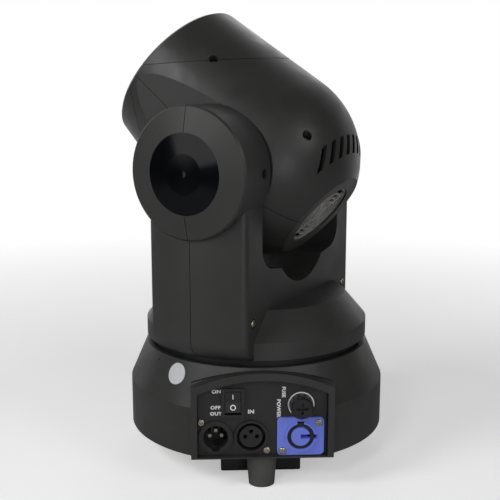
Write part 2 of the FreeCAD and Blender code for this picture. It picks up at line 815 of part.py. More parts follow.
def make_menu():
    body = new_body("display_frame")
    flange = new_sketch(body, "XY_Plane")
    half = "(menu_width / 2 + 1)"
    tall = "(menu_tall / 2 + 1)"
    box_outline(flange, f"-{half}", half, f"-{tall}", tall)
    pad(body, flange, "menu_flange")
    round_edges(body, "1.5", is_upright)
    inner = new_sketch(body, "XY_Plane")
    half = "(menu_width / 2 - fit_gap)"
    tall = "(menu_tall / 2 - fit_gap)"
    box_outline(inner, f"-{half}", half, f"-{tall}", tall)
    pad(body, inner, "2", back=True)
    openings = new_sketch(body, "XY_Plane", "menu_flange")
    wide = "(window_width / 2)"
    tall = "(window_tall / 2)"
    box_outline(openings, f"window_offset - {wide}", f"window_offset + {wide}", f"-{tall}", tall)
    for i in range(4):
        ring(openings, f"key_first + {i} * key_pitch", "0", "key_radius + run_gap")
    pocket(body, openings, "menu_flange + 3")
    keep(body, "display_frame", on_menu("0"))

    window = block("window_pane", f"window_offset - {wide}", f"-{tall}", "-2",
                   "window_width", "window_tall", "2 + menu_flange / 2")
    holder = doc.addObject("Part::Fuse", "display_window_whole")
    lip = block("window_lip", f"window_offset - {wide} - 1", f"-{tall} - 1", "-3",
                "window_width + 2", "window_tall + 2", "1")
    holder.Base = window
    holder.Tool = lip
    doc.recompute()
    keep(holder, "display_window", on_menu("0"))

    board = block("board_plate", "-menu_width / 2 + 1", "-menu_tall / 2 + 1", "-8.2",
                  "menu_width - 2", "menu_tall - 2", "1.6")
    parts = [board, block("display_glass", f"window_offset - {wide}", f"-{tall}", "-6.6",
                          "window_width", "window_tall", "3.6")]
    for i in range(4):
        place = f"key_first + {i} * key_pitch"
        parts.append(block(f"tact_{'abcd'[i]}", f"{place} - 2.5", "-2.5", "-6.6", "5", "5", "1"))
    fused("menu_board", parts, on_menu("0"))
    for i in range(4):
        turned(f"menu_key_{i + 1}", [
            ("0", "-2.4 - key_travel"),
            ("key_radius + key_flange", "-2.4 - key_travel"),
            ("key_radius + key_flange", "-2.3"),
            ("key_radius", "-2.3"),
            ("key_radius", "menu_flange + key_travel + 0.2"),
            ("key_radius - 0.5", "menu_flange + key_travel + 0.6"),
            ("0", "menu_flange + key_travel + 0.6"),
        ], on_menu(f"key_first + {i} * key_pitch"))


# Screws
def screw_at(foot, out):
    """Return a pan-head screw whose head rests at foot and points out."""
    head = Part.makeCylinder(size("screw_head_radius"), size("screw_head"), foot, out)
    rims = [e for e in head.Edges if e.Closed and (e.CenterOfMass - foot).dot(out) > 0.1]
    head = head.makeFillet(size("screw_head") * 0.55, rims)
    shank = Part.makeCylinder(size("screw_radius"), size("screw_length"), foot, out * -1)
    screw = head.fuse(shank)
    arm = size("screw_head_radius") * 1.1
    thin = size("screw_cross")
    turned_out = Placement(foot, Rotation(V(0, 0, 1), out))
    for length, width in ((arm, thin), (thin, arm)):
        slot = Part.makeBox(length, width, size("screw_head"), V(-length / 2, -width / 2, size("screw_head") * 0.4))
        slot.Placement = turned_out
        screw = screw.cut(slot)
    return screw


def boss_at(foot, out, depth):
    """Return a screw boss, its well and its bore, for a screw head sunk by a depth."""
    floor = foot - out * (depth + size("screw_floor"))
    well = size("well_radius")
    boss = Part.makeCylinder(well + size("screw_floor"), depth + size("screw_floor"), floor, out)
    sunk = Part.makeCylinder(well, depth + 20, foot - out * depth, out)
    bore_radius = size("screw_radius") + size("run_gap")
    bore = Part.makeCylinder(bore_radius, 3 * size("screw_length"), floor - out * size("screw_length"), out)
    return boss, sunk.fuse(bore)


def keep_screws(name, places, placement=None):
    """Keep a set of equal screws, given their feet and directions, as one piece."""
    shape = Part.makeCompound([screw_at(foot, out) for foot, out in places])
    return solid_feature(name, shape, placement)


# Inside the base
def motor_parts(prefix, x, y, low, height):
    """Return the parts of a square stepper motor that stands on a face."""
    half = "(motor_side / 2)"
    bell = block(f"{prefix}_body", f"{x} - {half}", f"{y} - {half}", low,
                 "motor_side", "motor_side", height)
    return bell


def belt_shape(far, near_radius, far_radius):
    """Return a belt around two wheels, the far one along +X, lying on Z = 0."""
    gap = size("fit_gap")
    thick = size("belt_thickness")
    rims = []
    for extra in (gap, gap + thick):
        big = near_radius + extra
        small = far_radius + extra
        lean = math.acos((big - small) / far)
        up = V(math.cos(lean), math.sin(lean), 0)
        down = V(math.cos(lean), -math.sin(lean), 0)
        end = V(far, 0, 0)
        rims.append(Part.Wire([
            Part.LineSegment(up * big, end + up * small).toShape(),
            Part.Arc(end + up * small, end + V(small, 0, 0), end + down * small).toShape(),
            Part.LineSegment(end + down * small, down * big).toShape(),
            Part.Arc(down * big, V(-big, 0, 0), up * big).toShape(),
        ]))
    face = Part.Face(rims[1]).cut(Part.Face(rims[0]))
    return face.extrude(V(0, 0, size("belt_width")))


def make_pan_drive():
    turned("pan_bearing", [
        ("shaft_radius + run_gap", BEARING_FOOT),
        ("bearing_radius", BEARING_FOOT),
        ("bearing_radius", DECK),
        ("(shaft_radius + bearing_radius) / 2 + 1", DECK),
        ("(shaft_radius + bearing_radius) / 2 + 1", f"{DECK} - 1"),
        ("(shaft_radius + bearing_radius) / 2 - 1", f"{DECK} - 1"),
        ("(shaft_radius + bearing_radius) / 2 - 1", DECK),
        ("shaft_radius + run_gap", DECK),
    ])
    turned("pan_wheel", [
        ("shaft_bore_radius", WHEEL_FOOT),
        ("pan_wheel_radius + 2", WHEEL_FOOT),
        ("pan_wheel_radius + 2", f"{WHEEL_FOOT} + 1"),
        ("pan_wheel_radius", f"{WHEEL_FOOT} + 1"),
        ("pan_wheel_radius", f"{WHEEL_TOP}"),
        ("shaft_radius", f"{WHEEL_TOP}"),
        ("shaft_radius", f"{FRAME_FLOOR} - 3"),
        ("pan_wheel_radius", f"{FRAME_FLOOR} - 3"),
        ("pan_wheel_radius", FRAME_FLOOR),
        ("shaft_bore_radius", FRAME_FLOOR),
    ], YOKE)
    turned("pan_collar", [
        ("collar_radius - 3", DECK),
        ("collar_radius", DECK),
        ("collar_radius", f"{TABLE} - 2 * fit_gap"),
        ("collar_radius - 3", f"{TABLE} - 2 * fit_gap"),
    ])
    floor = "(foot_height + plate_thickness)"
    bell = motor_parts("pan_motor", "pan_motor_offset", "pan_motor_depth", floor,
                       f"{WHEEL_FOOT} - 2 - {floor}")
    shaft = rod("pan_motor_shaft", "pan_motor_offset", "pan_motor_depth", f"{WHEEL_FOOT} - 3",
                "motor_shaft_radius", "pan_wheel_width + 3")
    fused("pan_motor", [bell, shaft])
    at_motor = Placement(V(size("pan_motor_offset"), size("pan_motor_depth"), size(WHEEL_FOOT)),
                         Rotation())
    make_pinion("pan_pinion", "pan_wheel_width", at_motor)
    far = math.hypot(size("pan_motor_offset"), size("pan_motor_depth"))
    heading = math.degrees(math.atan2(size("pan_motor_depth"), size("pan_motor_offset")))
    lift = size(WHEEL_FOOT) + (size("pan_wheel_width") - size("belt_width")) / 2
    solid_feature("pan_belt", belt_shape(far, size("pan_wheel_radius"), size("pinion_radius")),
                  Placement(V(0, 0, lift), Rotation(V(0, 0, 1), heading)))


def make_pinion(name, width, placement):
    """A flanged belt pinion that turns on its motor's shaft."""
    turned(name, [
        ("motor_shaft_radius + run_gap", "0.2"),
        ("pinion_radius + 1.4", "0.2"),
        ("pinion_radius + 1.4", "1"),
        ("pinion_radius", "1"),
        ("pinion_radius", f"{width} - 1"),
        ("pinion_radius + 1.4", f"{width} - 1"),
        ("pinion_radius + 1.4", f"{width} - 0.2"),
        ("motor_shaft_radius + run_gap", f"{width} - 0.2"),
    ], placement)


def make_electronics():
    floor = "(foot_height + plate_thickness)"
    case = block("supply_case", "-30", "12", floor, "88", "42", "28")
    fused("power_supply", [case, block("supply_terminals", "50", "2", floor, "8", "10.5", "12")])
    parts = [block("board_sheet", "-30", "-48", f"{floor} + 5", "76", "44", "1.6")]
    for i, (x, y) in enumerate(((-27, -45), (43, -45), (-27, -7), (43, -7))):
        parts.append(rod(f"standoff_{'abcd'[i]}", str(x), str(y), floor, "2", "5.5"))
    for i, (x, y, length, width, tall) in enumerate((
            (-20, -40, 14, 14, 2), (5, -38, 18, 10, 9), (30, -30, 10, 18, 12), (-15, -18, 26, 7, 3))):
        parts.append(block(f"board_part_{'abcd'[i]}", str(x), str(y), f"{floor} + 6.5",
                           str(length), str(width), str(tall)))
    fused("control_board", parts)


# Turntable and fork
def make_turntable():
    body = new_body("turntable_cover")
    drawing = new_sketch(body, "XZ_Plane")
    outline(drawing, [
        ("turntable_radius", TABLE),
        ("turntable_radius", BAND),
        ("dome_radius", DOME),
        ("0", DOME),
        ("0", f"{DOME} - turntable_wall"),
        ("dome_radius - turntable_wall / 2", f"{DOME} - turntable_wall"),
        ("turntable_radius - turntable_wall", f"{BAND} - turntable_wall / 2"),
        ("turntable_radius - turntable_wall", f"{TABLE} + turntable_wall"),
        ("shaft_radius + 14", f"{TABLE} + turntable_wall"),
        ("shaft_radius + 14", TABLE),
    ])
    turn(body, drawing)
    for side in ("", "-"):
        notch = new_sketch(body, "XY_Plane", f"{DOME} + 1")
        near = f"{side}(bridge_half)"
        far = f"{side}(turntable_radius + 1)"
        wide = "(arm_half_width + run_gap)"
        left, right = (near, far) if side == "" else (far, near)
        box_outline(notch, left, right, f"-{wide}", wide)
        pocket(body, notch, f"{DOME} - {TABLE} + 2")
    return keep(body, "turntable_cover", YOKE)


def fork_outline(grow):
    """Return the prism of the fork's opening, grown by a wall, across the fork."""
    gap = size("fork_half_gap") + grow
    shelf = size("shelf_half") + grow * 0.7
    pocket_radius = size("pocket_radius") + grow
    pocket_centre = size(f"{DOME} + fork_floor_rise + pocket_radius")
    shelf_low = size(f"{DOME} + shelf_rise") - grow * 0.7
    bend = size(f"{DOME} + fork_bend_rise")
    top = size(TILT) + size("hub_radius") * 2
    half = size("pocket_half")
    meet = pocket_centre - math.sqrt(pocket_radius ** 2 - half ** 2)
    bend_radius = size("fork_half_gap") - size("shelf_half")
    middle = V(gap - 0.3 * bend_radius, 0, shelf_low + 0.32 * (bend - shelf_low))
    right = [V(gap, 0, top), V(gap, 0, bend), V(shelf, 0, shelf_low), V(half, 0, meet)]
    left = [V(-p.x, 0, p.z) for p in right]
    edges = [
        Part.LineSegment(right[0], right[1]).toShape(),
        Part.Arc(right[1], middle, right[2]).toShape(),
        Part.LineSegment(right[2], right[3]).toShape(),
        Part.Arc(right[3], V(0, 0, pocket_centre - pocket_radius), left[3]).toShape(),
        Part.LineSegment(left[3], left[2]).toShape(),
        Part.Arc(left[2], V(-middle.x, 0, middle.z), left[1]).toShape(),
        Part.LineSegment(left[1], left[0]).toShape(),
        Part.LineSegment(left[0], right[0]).toShape(),
    ]
    depth = size("hub_radius") + 10
    face = Part.Face(Part.Wire(edges))
    face.translate(V(0, -depth, 0))
    return face.extrude(V(0, 2 * depth, 0))


def hub_solid(inset):
    """Return both hub barrels, drawn in by a wall, with their shallow cone faces."""
    radius = size("hub_radius") - inset
    near = size("fork_half_gap") + inset
    face = size("hub_face") - inset
    edge = size("hub_edge")
    tip = size("badge_radius") - inset
    height = size(TILT)
    points = [V(near, 0, 0), V(near, 0, radius), V(face - edge, 0, radius),
              V(face, 0, radius - edge * 0.7), V(face + size("hub_cone"), 0, tip),
              V(face + size("hub_cone"), 0, 0)]
    profile = Part.Face(Part.makePolygon(points + points[:1]))
    hub = profile.revolve(V(0, 0, 0), V(1, 0, 0), 360)
    other = hub.mirror(V(0, 0, 0), V(1, 0, 0))
    hub.translate(V(0, 0, height))
    other.translate(V(0, 0, height))
    return hub.fuse(other)


def arm_slab(inset):
    """Return the round-backed slab that both arms and the bridge are cut from."""
    foot = size(TABLE) + inset
    low_radius = size("turntable_radius") - inset
    radius = size("arm_radius") - inset
    tuck = size("arm_tuck")
    flare = radius - low_radius
    bend = (flare ** 2 + tuck ** 2) / (2 * flare)
    sweep = math.asin(tuck / bend) / 2
    middle = V(radius - bend + bend * math.cos(sweep), 0, foot + tuck - bend * math.sin(sweep))
    top = size(TILT)
    start, end = V(low_radius, 0, foot), V(radius, 0, foot + tuck)
    edges = [
        Part.LineSegment(V(0, 0, foot), start).toShape(),
        Part.Arc(start, middle, end).toShape(),
        Part.LineSegment(end, V(radius, 0, top)).toShape(),
        Part.LineSegment(V(radius, 0, top), V(0, 0, top)).toShape(),
        Part.LineSegment(V(0, 0, top), V(0, 0, foot)).toShape(),
    ]
    turned_slab = Part.Face(Part.Wire(edges)).revolve(V(0, 0, 0), V(0, 0, 1), 360)
    half = size("arm_half_width") - inset
    reach = radius + 5
    slab = turned_slab.common(Part.makeBox(2 * reach, 2 * half, top, V(-reach, -half, foot)))
    corner = size("arm_corner") - inset
    if corner > 0.5:
        rims = [e for e in slab.Edges if is_arm_corner(e, half, low_radius)]
        slab = slab.makeFillet(corner, rims)
    return slab


def is_arm_corner(edge, half, low_radius):
    """Say whether an edge of the slab runs up one of its four outer corners."""
    ends = [v.Point for v in edge.Vertexes]
    if len(ends) < 2 or abs(ends[0].z - ends[1].z) < 1:
        return False
    inner = math.sqrt(low_radius ** 2 - half ** 2) - 1
    return all(abs(abs(p.y) - half) < 0.01 and abs(p.x) > inner for p in ends)


def yoke_screw_places():
    """Return foot, direction and sinking of the screws that hold the fork's two halves."""
    low = (size("yoke_screw_offset"), size("arm_half_width"), size("yoke_screw_height"), 1)
    high = (size("hub_screw_offset"), size("hub_radius"), size(TILT), size("well_depth"))
    places = []
    for across, reach, height, depth in (low, high):
        for side in (1, -1):
            for face in (1, -1):
                places.append((V(side * across, face * reach, height), V(0, face, 0), depth))
    return places


def make_fork():
    """The two halves of the fork's cover, hollow and open towards the turntable."""
    wall = size("arm_wall")
    solid = arm_slab(0).fuse(hub_solid(0)).cut(fork_outline(0))
    half = size("bridge_half") + size("fit_gap")
    low = size(TABLE) - 1
    across = size("arm_half_width") * 2 + 2
    under = Part.makeBox(2 * half, across, size(DOME) + size("run_gap") - low,
                         V(-half, -across / 2, low))
    solid = solid.cut(under)
    cavity = arm_slab(wall).cut(fork_outline(wall)).fuse(hub_solid(wall))
    solid = solid.cut(cavity)
    deep = size("seam_depth")
    core = arm_slab(deep).fuse(hub_solid(deep)).cut(fork_outline(deep))
    seam = Part.makeBox(4 * size("arm_radius"), size("seam_width"), 4 * size("arm_radius"),
                        V(-2 * size("arm_radius"), -size("seam_width") / 2, 0))
    solid = solid.cut(seam.cut(core))
    for foot, out, depth in yoke_screw_places():
        boss, well = boss_at(foot, out, depth)
        solid = solid.fuse(boss).cut(well)
    height = size(TILT)
    reach = size("arm_radius") + 20
    axle = Part.makeCylinder(size("tilt_bearing_radius") - 2, 2 * size("fork_half_gap") + 4 * wall,
                             V(-size("fork_half_gap") - 2 * wall, 0, height), V(1, 0, 0))
    solid = solid.cut(axle)
    for side in (1, -1):
        foot = V(side * (size("hub_face") + size("hub_cone") - size("badge_depth")), 0, height)
        seat = Part.makeCylinder(size("badge_radius"), 10, foot, V(side, 0, 0))
        solid = solid.cut(seat)
    tall = size(TILT) + 100
    front = Part.makeBox(2 * reach, reach, tall, V(-reach, -reach, 0))
    back = Part.makeBox(2 * reach, reach, tall, V(-reach, 0, 0))
    solid_feature("yoke_shell_front", solid.common(front), YOKE)
    solid_feature("yoke_shell_back", solid.common(back), YOKE)
    places = [(foot - out * depth, out) for foot, out, depth in yoke_screw_places()]
    keep_screws("yoke_screws", places, YOKE)


def make_badges():
    for name, side in (("hub_badge_left", "1"), ("hub_badge_right", "-1")):
        floor = "(hub_face + hub_cone - badge_depth)"
        turned(name, [
            (f"{side} * {floor}", "0"),
            (f"{side} * {floor}", "badge_radius - fit_gap / 3"),
            (f"{side} * ({floor} + badge_depth - 0.2)", "badge_radius - fit_gap / 3"),
            (f"{side} * ({floor} + badge_depth + badge_dome * 0.75)", "badge_radius / 2"),
            (f"{side} * ({floor} + badge_depth + badge_dome)", "0"),
        ], AXIS, axis="H_Axis")


def make_yoke_frame():
    body = new_body("yoke_frame")
    drawing = new_sketch(body, "XZ_Plane")
    gap = "frame_half_gap"
    outer = "(frame_half_gap + frame_sheet)"
    top = f"({TILT} + frame_rise)"
    floor = FRAME_FLOOR
    outline(drawing, [
        (f"-{outer}", floor), (outer, floor), (outer, top), (gap, top),
        (gap, f"{floor} + frame_sheet"), (f"-{gap}", f"{floor} + frame_sheet"),
        (f"-{gap}", top), (f"-{outer}", top),
    ])
    pad(body, drawing, "2 * frame_half_width", both=True)
    holes = new_sketch(body, "YZ_Plane")
    ring(holes, "0", TILT, "tilt_bearing_radius")
    pocket(body, holes, f"2 * {outer} + 2", both=True)
    centre = new_sketch(body, "XY_Plane", f"{floor} + frame_sheet + 1")
    ring(centre, "0", "0", "shaft_bore_radius")
    pocket(body, centre, "frame_sheet + 2")
    return keep(body, "yoke_frame", YOKE)


def make_tilt_drive():
    sides = []
    for i, side in enumerate((1, -1)):
        body = new_body(f"bearing_{'ab'[i]}")
        drawing = new_sketch(body, "XZ_Plane")
        near = "(frame_half_gap - 1)"
        far = "(frame_half_gap + frame_sheet + 1)"
        if side < 0:
            near, far = f"-{far}", f"-{near}"
        outline(drawing, [
            (near, "journal_radius + run_gap"), (far, "journal_radius + run_gap"),
            (far, "tilt_bearing_radius"), (near, "tilt_bearing_radius"),
        ])
        turn(body, drawing, "H_Axis")
        sides.append(body)
    fused("tilt_bearings", sides, AXIS)

    plate = "(frame_half_gap + frame_sheet)"
    body = new_body("tilt_motor")
    square = new_sketch(body, "YZ_Plane", f"-{plate}")
    half = "(motor_side / 2)"
    box_outline(square, f"-{half}", half, f"-tilt_motor_drop - {half}", f"-tilt_motor_drop + {half}")
    pad(body, square, "tilt_motor_length", back=True)
    shaft = new_sketch(body, "YZ_Plane", f"-{plate}")
    ring(shaft, "0", "-tilt_motor_drop", "motor_shaft_radius")
    pad(body, shaft, "tilt_motor_length + 7", back=True)
    keep(body, "tilt_motor", AXIS)

    face = size(plate) + size("tilt_motor_length")
    facing = Rotation(V(0, 1, 0), -90)
    at_motor = AXIS * Placement(V(-face, 0, -size("tilt_motor_drop")), facing)
    make_pinion("tilt_pinion", "6.6", at_motor)
    start = face + (6.6 - size("belt_width") * 0.7) / 2
    loop = belt_shape(size("tilt_motor_drop"), size("tilt_wheel_radius"), size("pinion_radius"))
    squeeze = FreeCAD.Matrix()
    squeeze.scale(V(1, 1, 0.7))
    loop = loop.transformGeometry(squeeze)
    lay = Placement(V(-start, 0, 0), facing) * Placement(V(0, 0, 0), Rotation(V(0, 0, 1), 180))
    solid_feature("tilt_belt", loop, AXIS * lay)
    turned("tilt_wheel", [
        ("journal_radius", "0.2"),
        ("tilt_wheel_radius + 1.4", "0.2"),
        ("tilt_wheel_radius + 1.4", "0.8"),
        ("tilt_wheel_radius", "0.8"),
        ("tilt_wheel_radius", "5.8"),
        ("tilt_wheel_radius + 1.4", "5.8"),
        ("tilt_wheel_radius + 1.4", "6.4"),
        ("journal_radius", "6.4"),
    ], HEAD * Placement(V(-face, 0, 0), facing))


# Head
def tangent_middle(before, start, end):
    """Return the middle of an arc from start to end that goes on from a straight run."""
    run = (start - before).normalize()
    chord = end - start
    lean = run.getAngle(chord)
    sag = chord.Length / 2 * math.tan(lean / 2)
    square = (run - chord * (run.dot(chord) / chord.Length ** 2)).normalize()
    return (start + end) * 0.5 + square * sag


def head_profile(inset):
    """Return the head's turned body about its optical axis, drawn in by a wall."""
    rim = V(size("rim_radius") - inset, 0, size("rim_reach"))
    waist = V(size("waist_radius") - inset, 0, size("waist_reach"))
    rear = V(size("rear_radius") - inset * 0.6, 0, size("rear_reach") + inset)
    middle = tangent_middle(rim, waist, rear)
    land = size("rim_round")
    top = V(0, 0, rim.z)
    edges = [
        Part.LineSegment(V(0, 0, rear.z), rear).toShape(),
        Part.Arc(rear, middle, waist).toShape(),
        Part.LineSegment(waist, rim + V(0, 0, -land)).toShape(),
        Part.LineSegment(rim + V(0, 0, -land), rim + V(-land, 0, 0)).toShape(),
        Part.LineSegment(rim + V(-land, 0, 0), top).toShape(),
        Part.LineSegment(top, V(0, 0, rear.z)).toShape(),
    ]
    body = Part.Face(Part.Wire(edges)).revolve(V(0, 0, 0), V(0, 0, 1), 360)
    cheek = size("cheek_half_width") - inset
    reach = 2 * size("waist_radius")
    body = body.common(Part.makeBox(2 * cheek, 2 * reach, 2 * reach, V(-cheek, -reach, -reach)))
    body.translate(V(0, size("optic_offset"), 0))
    return body


def hood_zone(clearance):
    """Return the wedge-edged zones in front of the two hood seams."""
    start = size("hood_start") + clearance
    wide = size("waist_radius") + 5
    low = start - size("hood_slope") * wide
    high = size("hood_start") + 10
    half = size("cheek_half_width") + 2
    points = [V(-half, 0, start), V(-half, wide, low), V(-half, wide, high),
              V(-half, -wide, high), V(-half, -wide, low)]
    zone = Part.Face(Part.makePolygon(points + points[:1])).extrude(V(2 * half, 0, 0))
    zone.translate(V(0, size("optic_offset"), 0))
    return zone


def head_screw_places():
    """Return the outer foot and direction of the head's eight sunk screws."""
    places = []
    for reach, angle in (("hood_hole_reach", "hood_hole_angle"), ("rear_hole_reach", "rear_hole_angle")):
        radius = head_radius_at(size(reach))
        for side in (1, -1):
            for face in (1, -1):
                lean = math.radians(size(angle))
                out = V(side * math.sin(lean), face * math.cos(lean), 0)
                foot = V(0, size("optic_offset"), size(reach)) + out * radius
                places.append((foot, out))
    return places


def head_radius_at(reach):
    """Return the head's outer radius at a place along its optical axis."""
    body = head_profile(0)
    wide = 2 * size("waist_radius")
    probe = Part.makeLine(V(0, size("optic_offset"), reach), V(0, size("optic_offset") + wide, reach))
    return probe.common(body).Length


def vent_slots():
    """Return the slanted slots over and under the rear of the head."""
    slots = []
    count = int(size("vent_count"))
    top, foot = size("vent_top"), size("vent_foot")
    width, slant = size("vent_width"), size("vent_slant")
    inner = size("waist_radius") * 0.35
    for i in range(count):
        at = (i - (count - 1) / 2) * size("vent_pitch")
        corners = [(at - slant / 2 - width / 2, top), (at - slant / 2 + width / 2, top),
                   (at + slant / 2 + width / 2, foot), (at + slant / 2 - width / 2, foot)]
        points = [V(x, inner, z) for x, z in corners]
        slot = Part.Face(Part.makePolygon(points + points[:1])).extrude(V(0, size("waist_radius"), 0))
        slots.append(slot)
        slots.append(slot.mirror(V(0, 0, 0), V(0, 1, 0)))
    for slot in slots:
        slot.translate(V(0, size("optic_offset"), 0))
    return slots


def make_head_shells():
    wall = size("head_wall")
    offset = size("optic_offset")
    shell = head_profile(0).cut(head_profile(wall))
    mouth_radius = size("rim_radius") - size("rim_land")
    mouth = Part.makeCylinder(mouth_radius, 4 * wall, V(0, offset, size("rim_reach") - 2 * wall))
    port = Part.makeCylinder(size("grille_radius"), 4 * wall,
                             V(0, offset, size("rear_reach") - 2 * wall))
    reach = size("cheek_half_width") + 5
    axle = Part.makeCylinder(size("journal_radius") + size("fit_gap"), 2 * reach,
                             V(-reach, 0, 0), V(1, 0, 0))
    shell = shell.cut(mouth).cut(port).cut(axle)
    for slot in vent_slots():
        shell = shell.cut(slot)
    outer = head_profile(0)
    for foot, out in head_screw_places():
        boss, well = boss_at(foot, out, size("well_depth"))
        shell = shell.fuse(boss.common(outer)).cut(well)
    wide = 3 * size("waist_radius")
    above = Part.makeBox(2 * wide, wide, 2 * wide, V(-wide, offset, -wide))
    half_seam = size("seam_width") / 2
    hood_seam = hood_zone(-half_seam).cut(hood_zone(half_seam))
    middle_seam = Part.makeBox(2 * wide, 2 * half_seam, 2 * wide, V(-wide, offset - half_seam, -wide))
    seams = hood_seam.fuse(middle_seam).cut(head_profile(size("seam_depth")))
    shell = shell.cut(seams)
    hood = shell.common(hood_zone(0))
    rest = shell.cut(hood_zone(0))
    solid_feature("hood_upper", hood.common(above), HEAD)
    solid_feature("hood_lower", hood.cut(above), HEAD)
    solid_feature("head_shell_upper", rest.common(above), HEAD)
    solid_feature("head_shell_lower", rest.cut(above), HEAD)
    places = [(foot - out * size("well_depth"), out) for foot, out in head_screw_places()]
    keep_screws("head_screws", places, HEAD)


def make_optics():
    on_axis = HEAD * Placement(V(0, size("optic_offset"), 0), Rotation())
    turned("lens", [
        ("0", "lens_reach"),
        ("lens_radius", "lens_reach"),
        ("lens_radius", "lens_reach + lens_edge"),
        ("0", "lens_reach + lens_crown"),
    ], on_axis, {2: ("(lens_radius ^ 2 + (lens_crown - lens_edge) ^ 2) / (2 * (lens_crown - lens_edge))", -1)})
    turned("lens_ring", [
        ("lens_radius + run_gap", "lens_reach"),
        ("rim_radius - rim_land", "lens_reach"),
        ("rim_radius - rim_land", "rim_reach - rim_round"),
        ("rim_radius - rim_land - 1.2", "rim_reach - rim_round"),
        ("lens_radius - 2", "lens_reach + lens_edge + 2"),
        ("lens_radius - 2", "lens_reach + lens_edge + 0.5"),
        ("lens_radius + run_gap", "lens_reach + lens_edge + 0.5"),
    ], on_axis)
    turned("optic_barrel", [
        ("barrel_foot_radius - barrel_wall", "sink_reach + sink_base + led_thickness"),
        ("barrel_foot_radius", "sink_reach + sink_base + led_thickness"),
        ("lens_radius + 2", "lens_reach - 4"),
        ("lens_radius + 2", "lens_reach"),
        ("lens_radius - 2", "lens_reach"),
        ("lens_radius - 2", "lens_reach - barrel_wall"),
        ("lens_radius + 2 - barrel_wall", "lens_reach - 4"),
    ], on_axis)

    sink = new_body("heat_sink")
    base = new_sketch(sink, "XY_Plane", "sink_reach")
    ring(base, "0", "0", "sink_radius")
    pad(sink, base, "sink_base")
    fin = new_sketch(sink, "XY_Plane", "sink_reach")
    long = "(sink_radius * 0.8)"
    box_outline(fin, f"-{long}", long, "-sink_fin_thickness / 2", "sink_fin_thickness / 2")
    first = pad(sink, fin, "sink_fin_length", back=True)
    for heading in (True, False):
        row = sink.newObject("PartDesign::LinearPattern", "fin_row")
        row.Originals = [first]
        row.Direction = (fin, ["V_Axis"])
        row.Reversed = heading
        row.setExpression("Length", bound("3 * sink_fin_pitch"))
        row.Occurrences = 4
        sink.Tip = row
        doc.recompute()
    keep(sink, "heat_sink", on_axis)

    top = "(sink_reach + sink_base)"
    half = "(led_side / 2)"
    plate = block("led_plate", f"-{half}", f"-{half}", top, "led_side", "led_side", "led_thickness")
    chip = block("led_chip", "-6", "-6", f"{top} + led_thickness / 2", "12", "12",
                 "led_thickness / 2 + 1")
    fused("led_module", [plate, chip], on_axis)


def make_chassis():
    """The steel cradle between the two journals that carries the optics."""
    body = new_body("head_chassis")
    drawing = new_sketch(body, "XZ_Plane")
    gap = "chassis_half_gap"
    outer = "(chassis_half_gap + chassis_sheet)"
    low = "(sink_reach + sink_base)"
    outline(drawing, [
        (f"-{outer}", "-15"), (f"-{gap}", "-15"), (f"-{gap}", low),
        (gap, low), (gap, "-15"), (outer, "-15"), (outer, "20"), (gap, "20"),
        (gap, f"{low} + chassis_sheet"), (f"-{gap}", f"{low} + chassis_sheet"),
        (f"-{gap}", "20"), (f"-{outer}", "20"),
    ])
    pad(body, drawing, "chassis_width", both=True)
    hole = new_sketch(body, "XY_Plane", f"{low} + chassis_sheet + 1")
    ring(hole, "0", "optic_offset", "led_side * sqrt(2) / 2 + fit_gap")
    pocket(body, hole, "chassis_sheet + 2")
    keep(body, "head_chassis", HEAD)

    sides = []
    for i, side in enumerate((1, -1)):
        journal = new_body(f"journal_{'ab'[i]}")
        drawing = new_sketch(journal, "XZ_Plane")
        near = "(chassis_half_gap + chassis_sheet)"
        far = "(frame_half_gap + frame_sheet + 2)"
        if side < 0:
            far = "(frame_half_gap + frame_sheet + tilt_motor_length + 7)"
            near, far = f"-{far}", f"-{near}"
        outline(drawing, [
            (near, "journal_bore_radius"), (far, "journal_bore_radius"),
            (far, "journal_radius"), (near, "journal_radius"),
        ])
        turn(journal, drawing, "H_Axis")
        sides.append(journal)
    fused("tilt_journals", sides, HEAD)


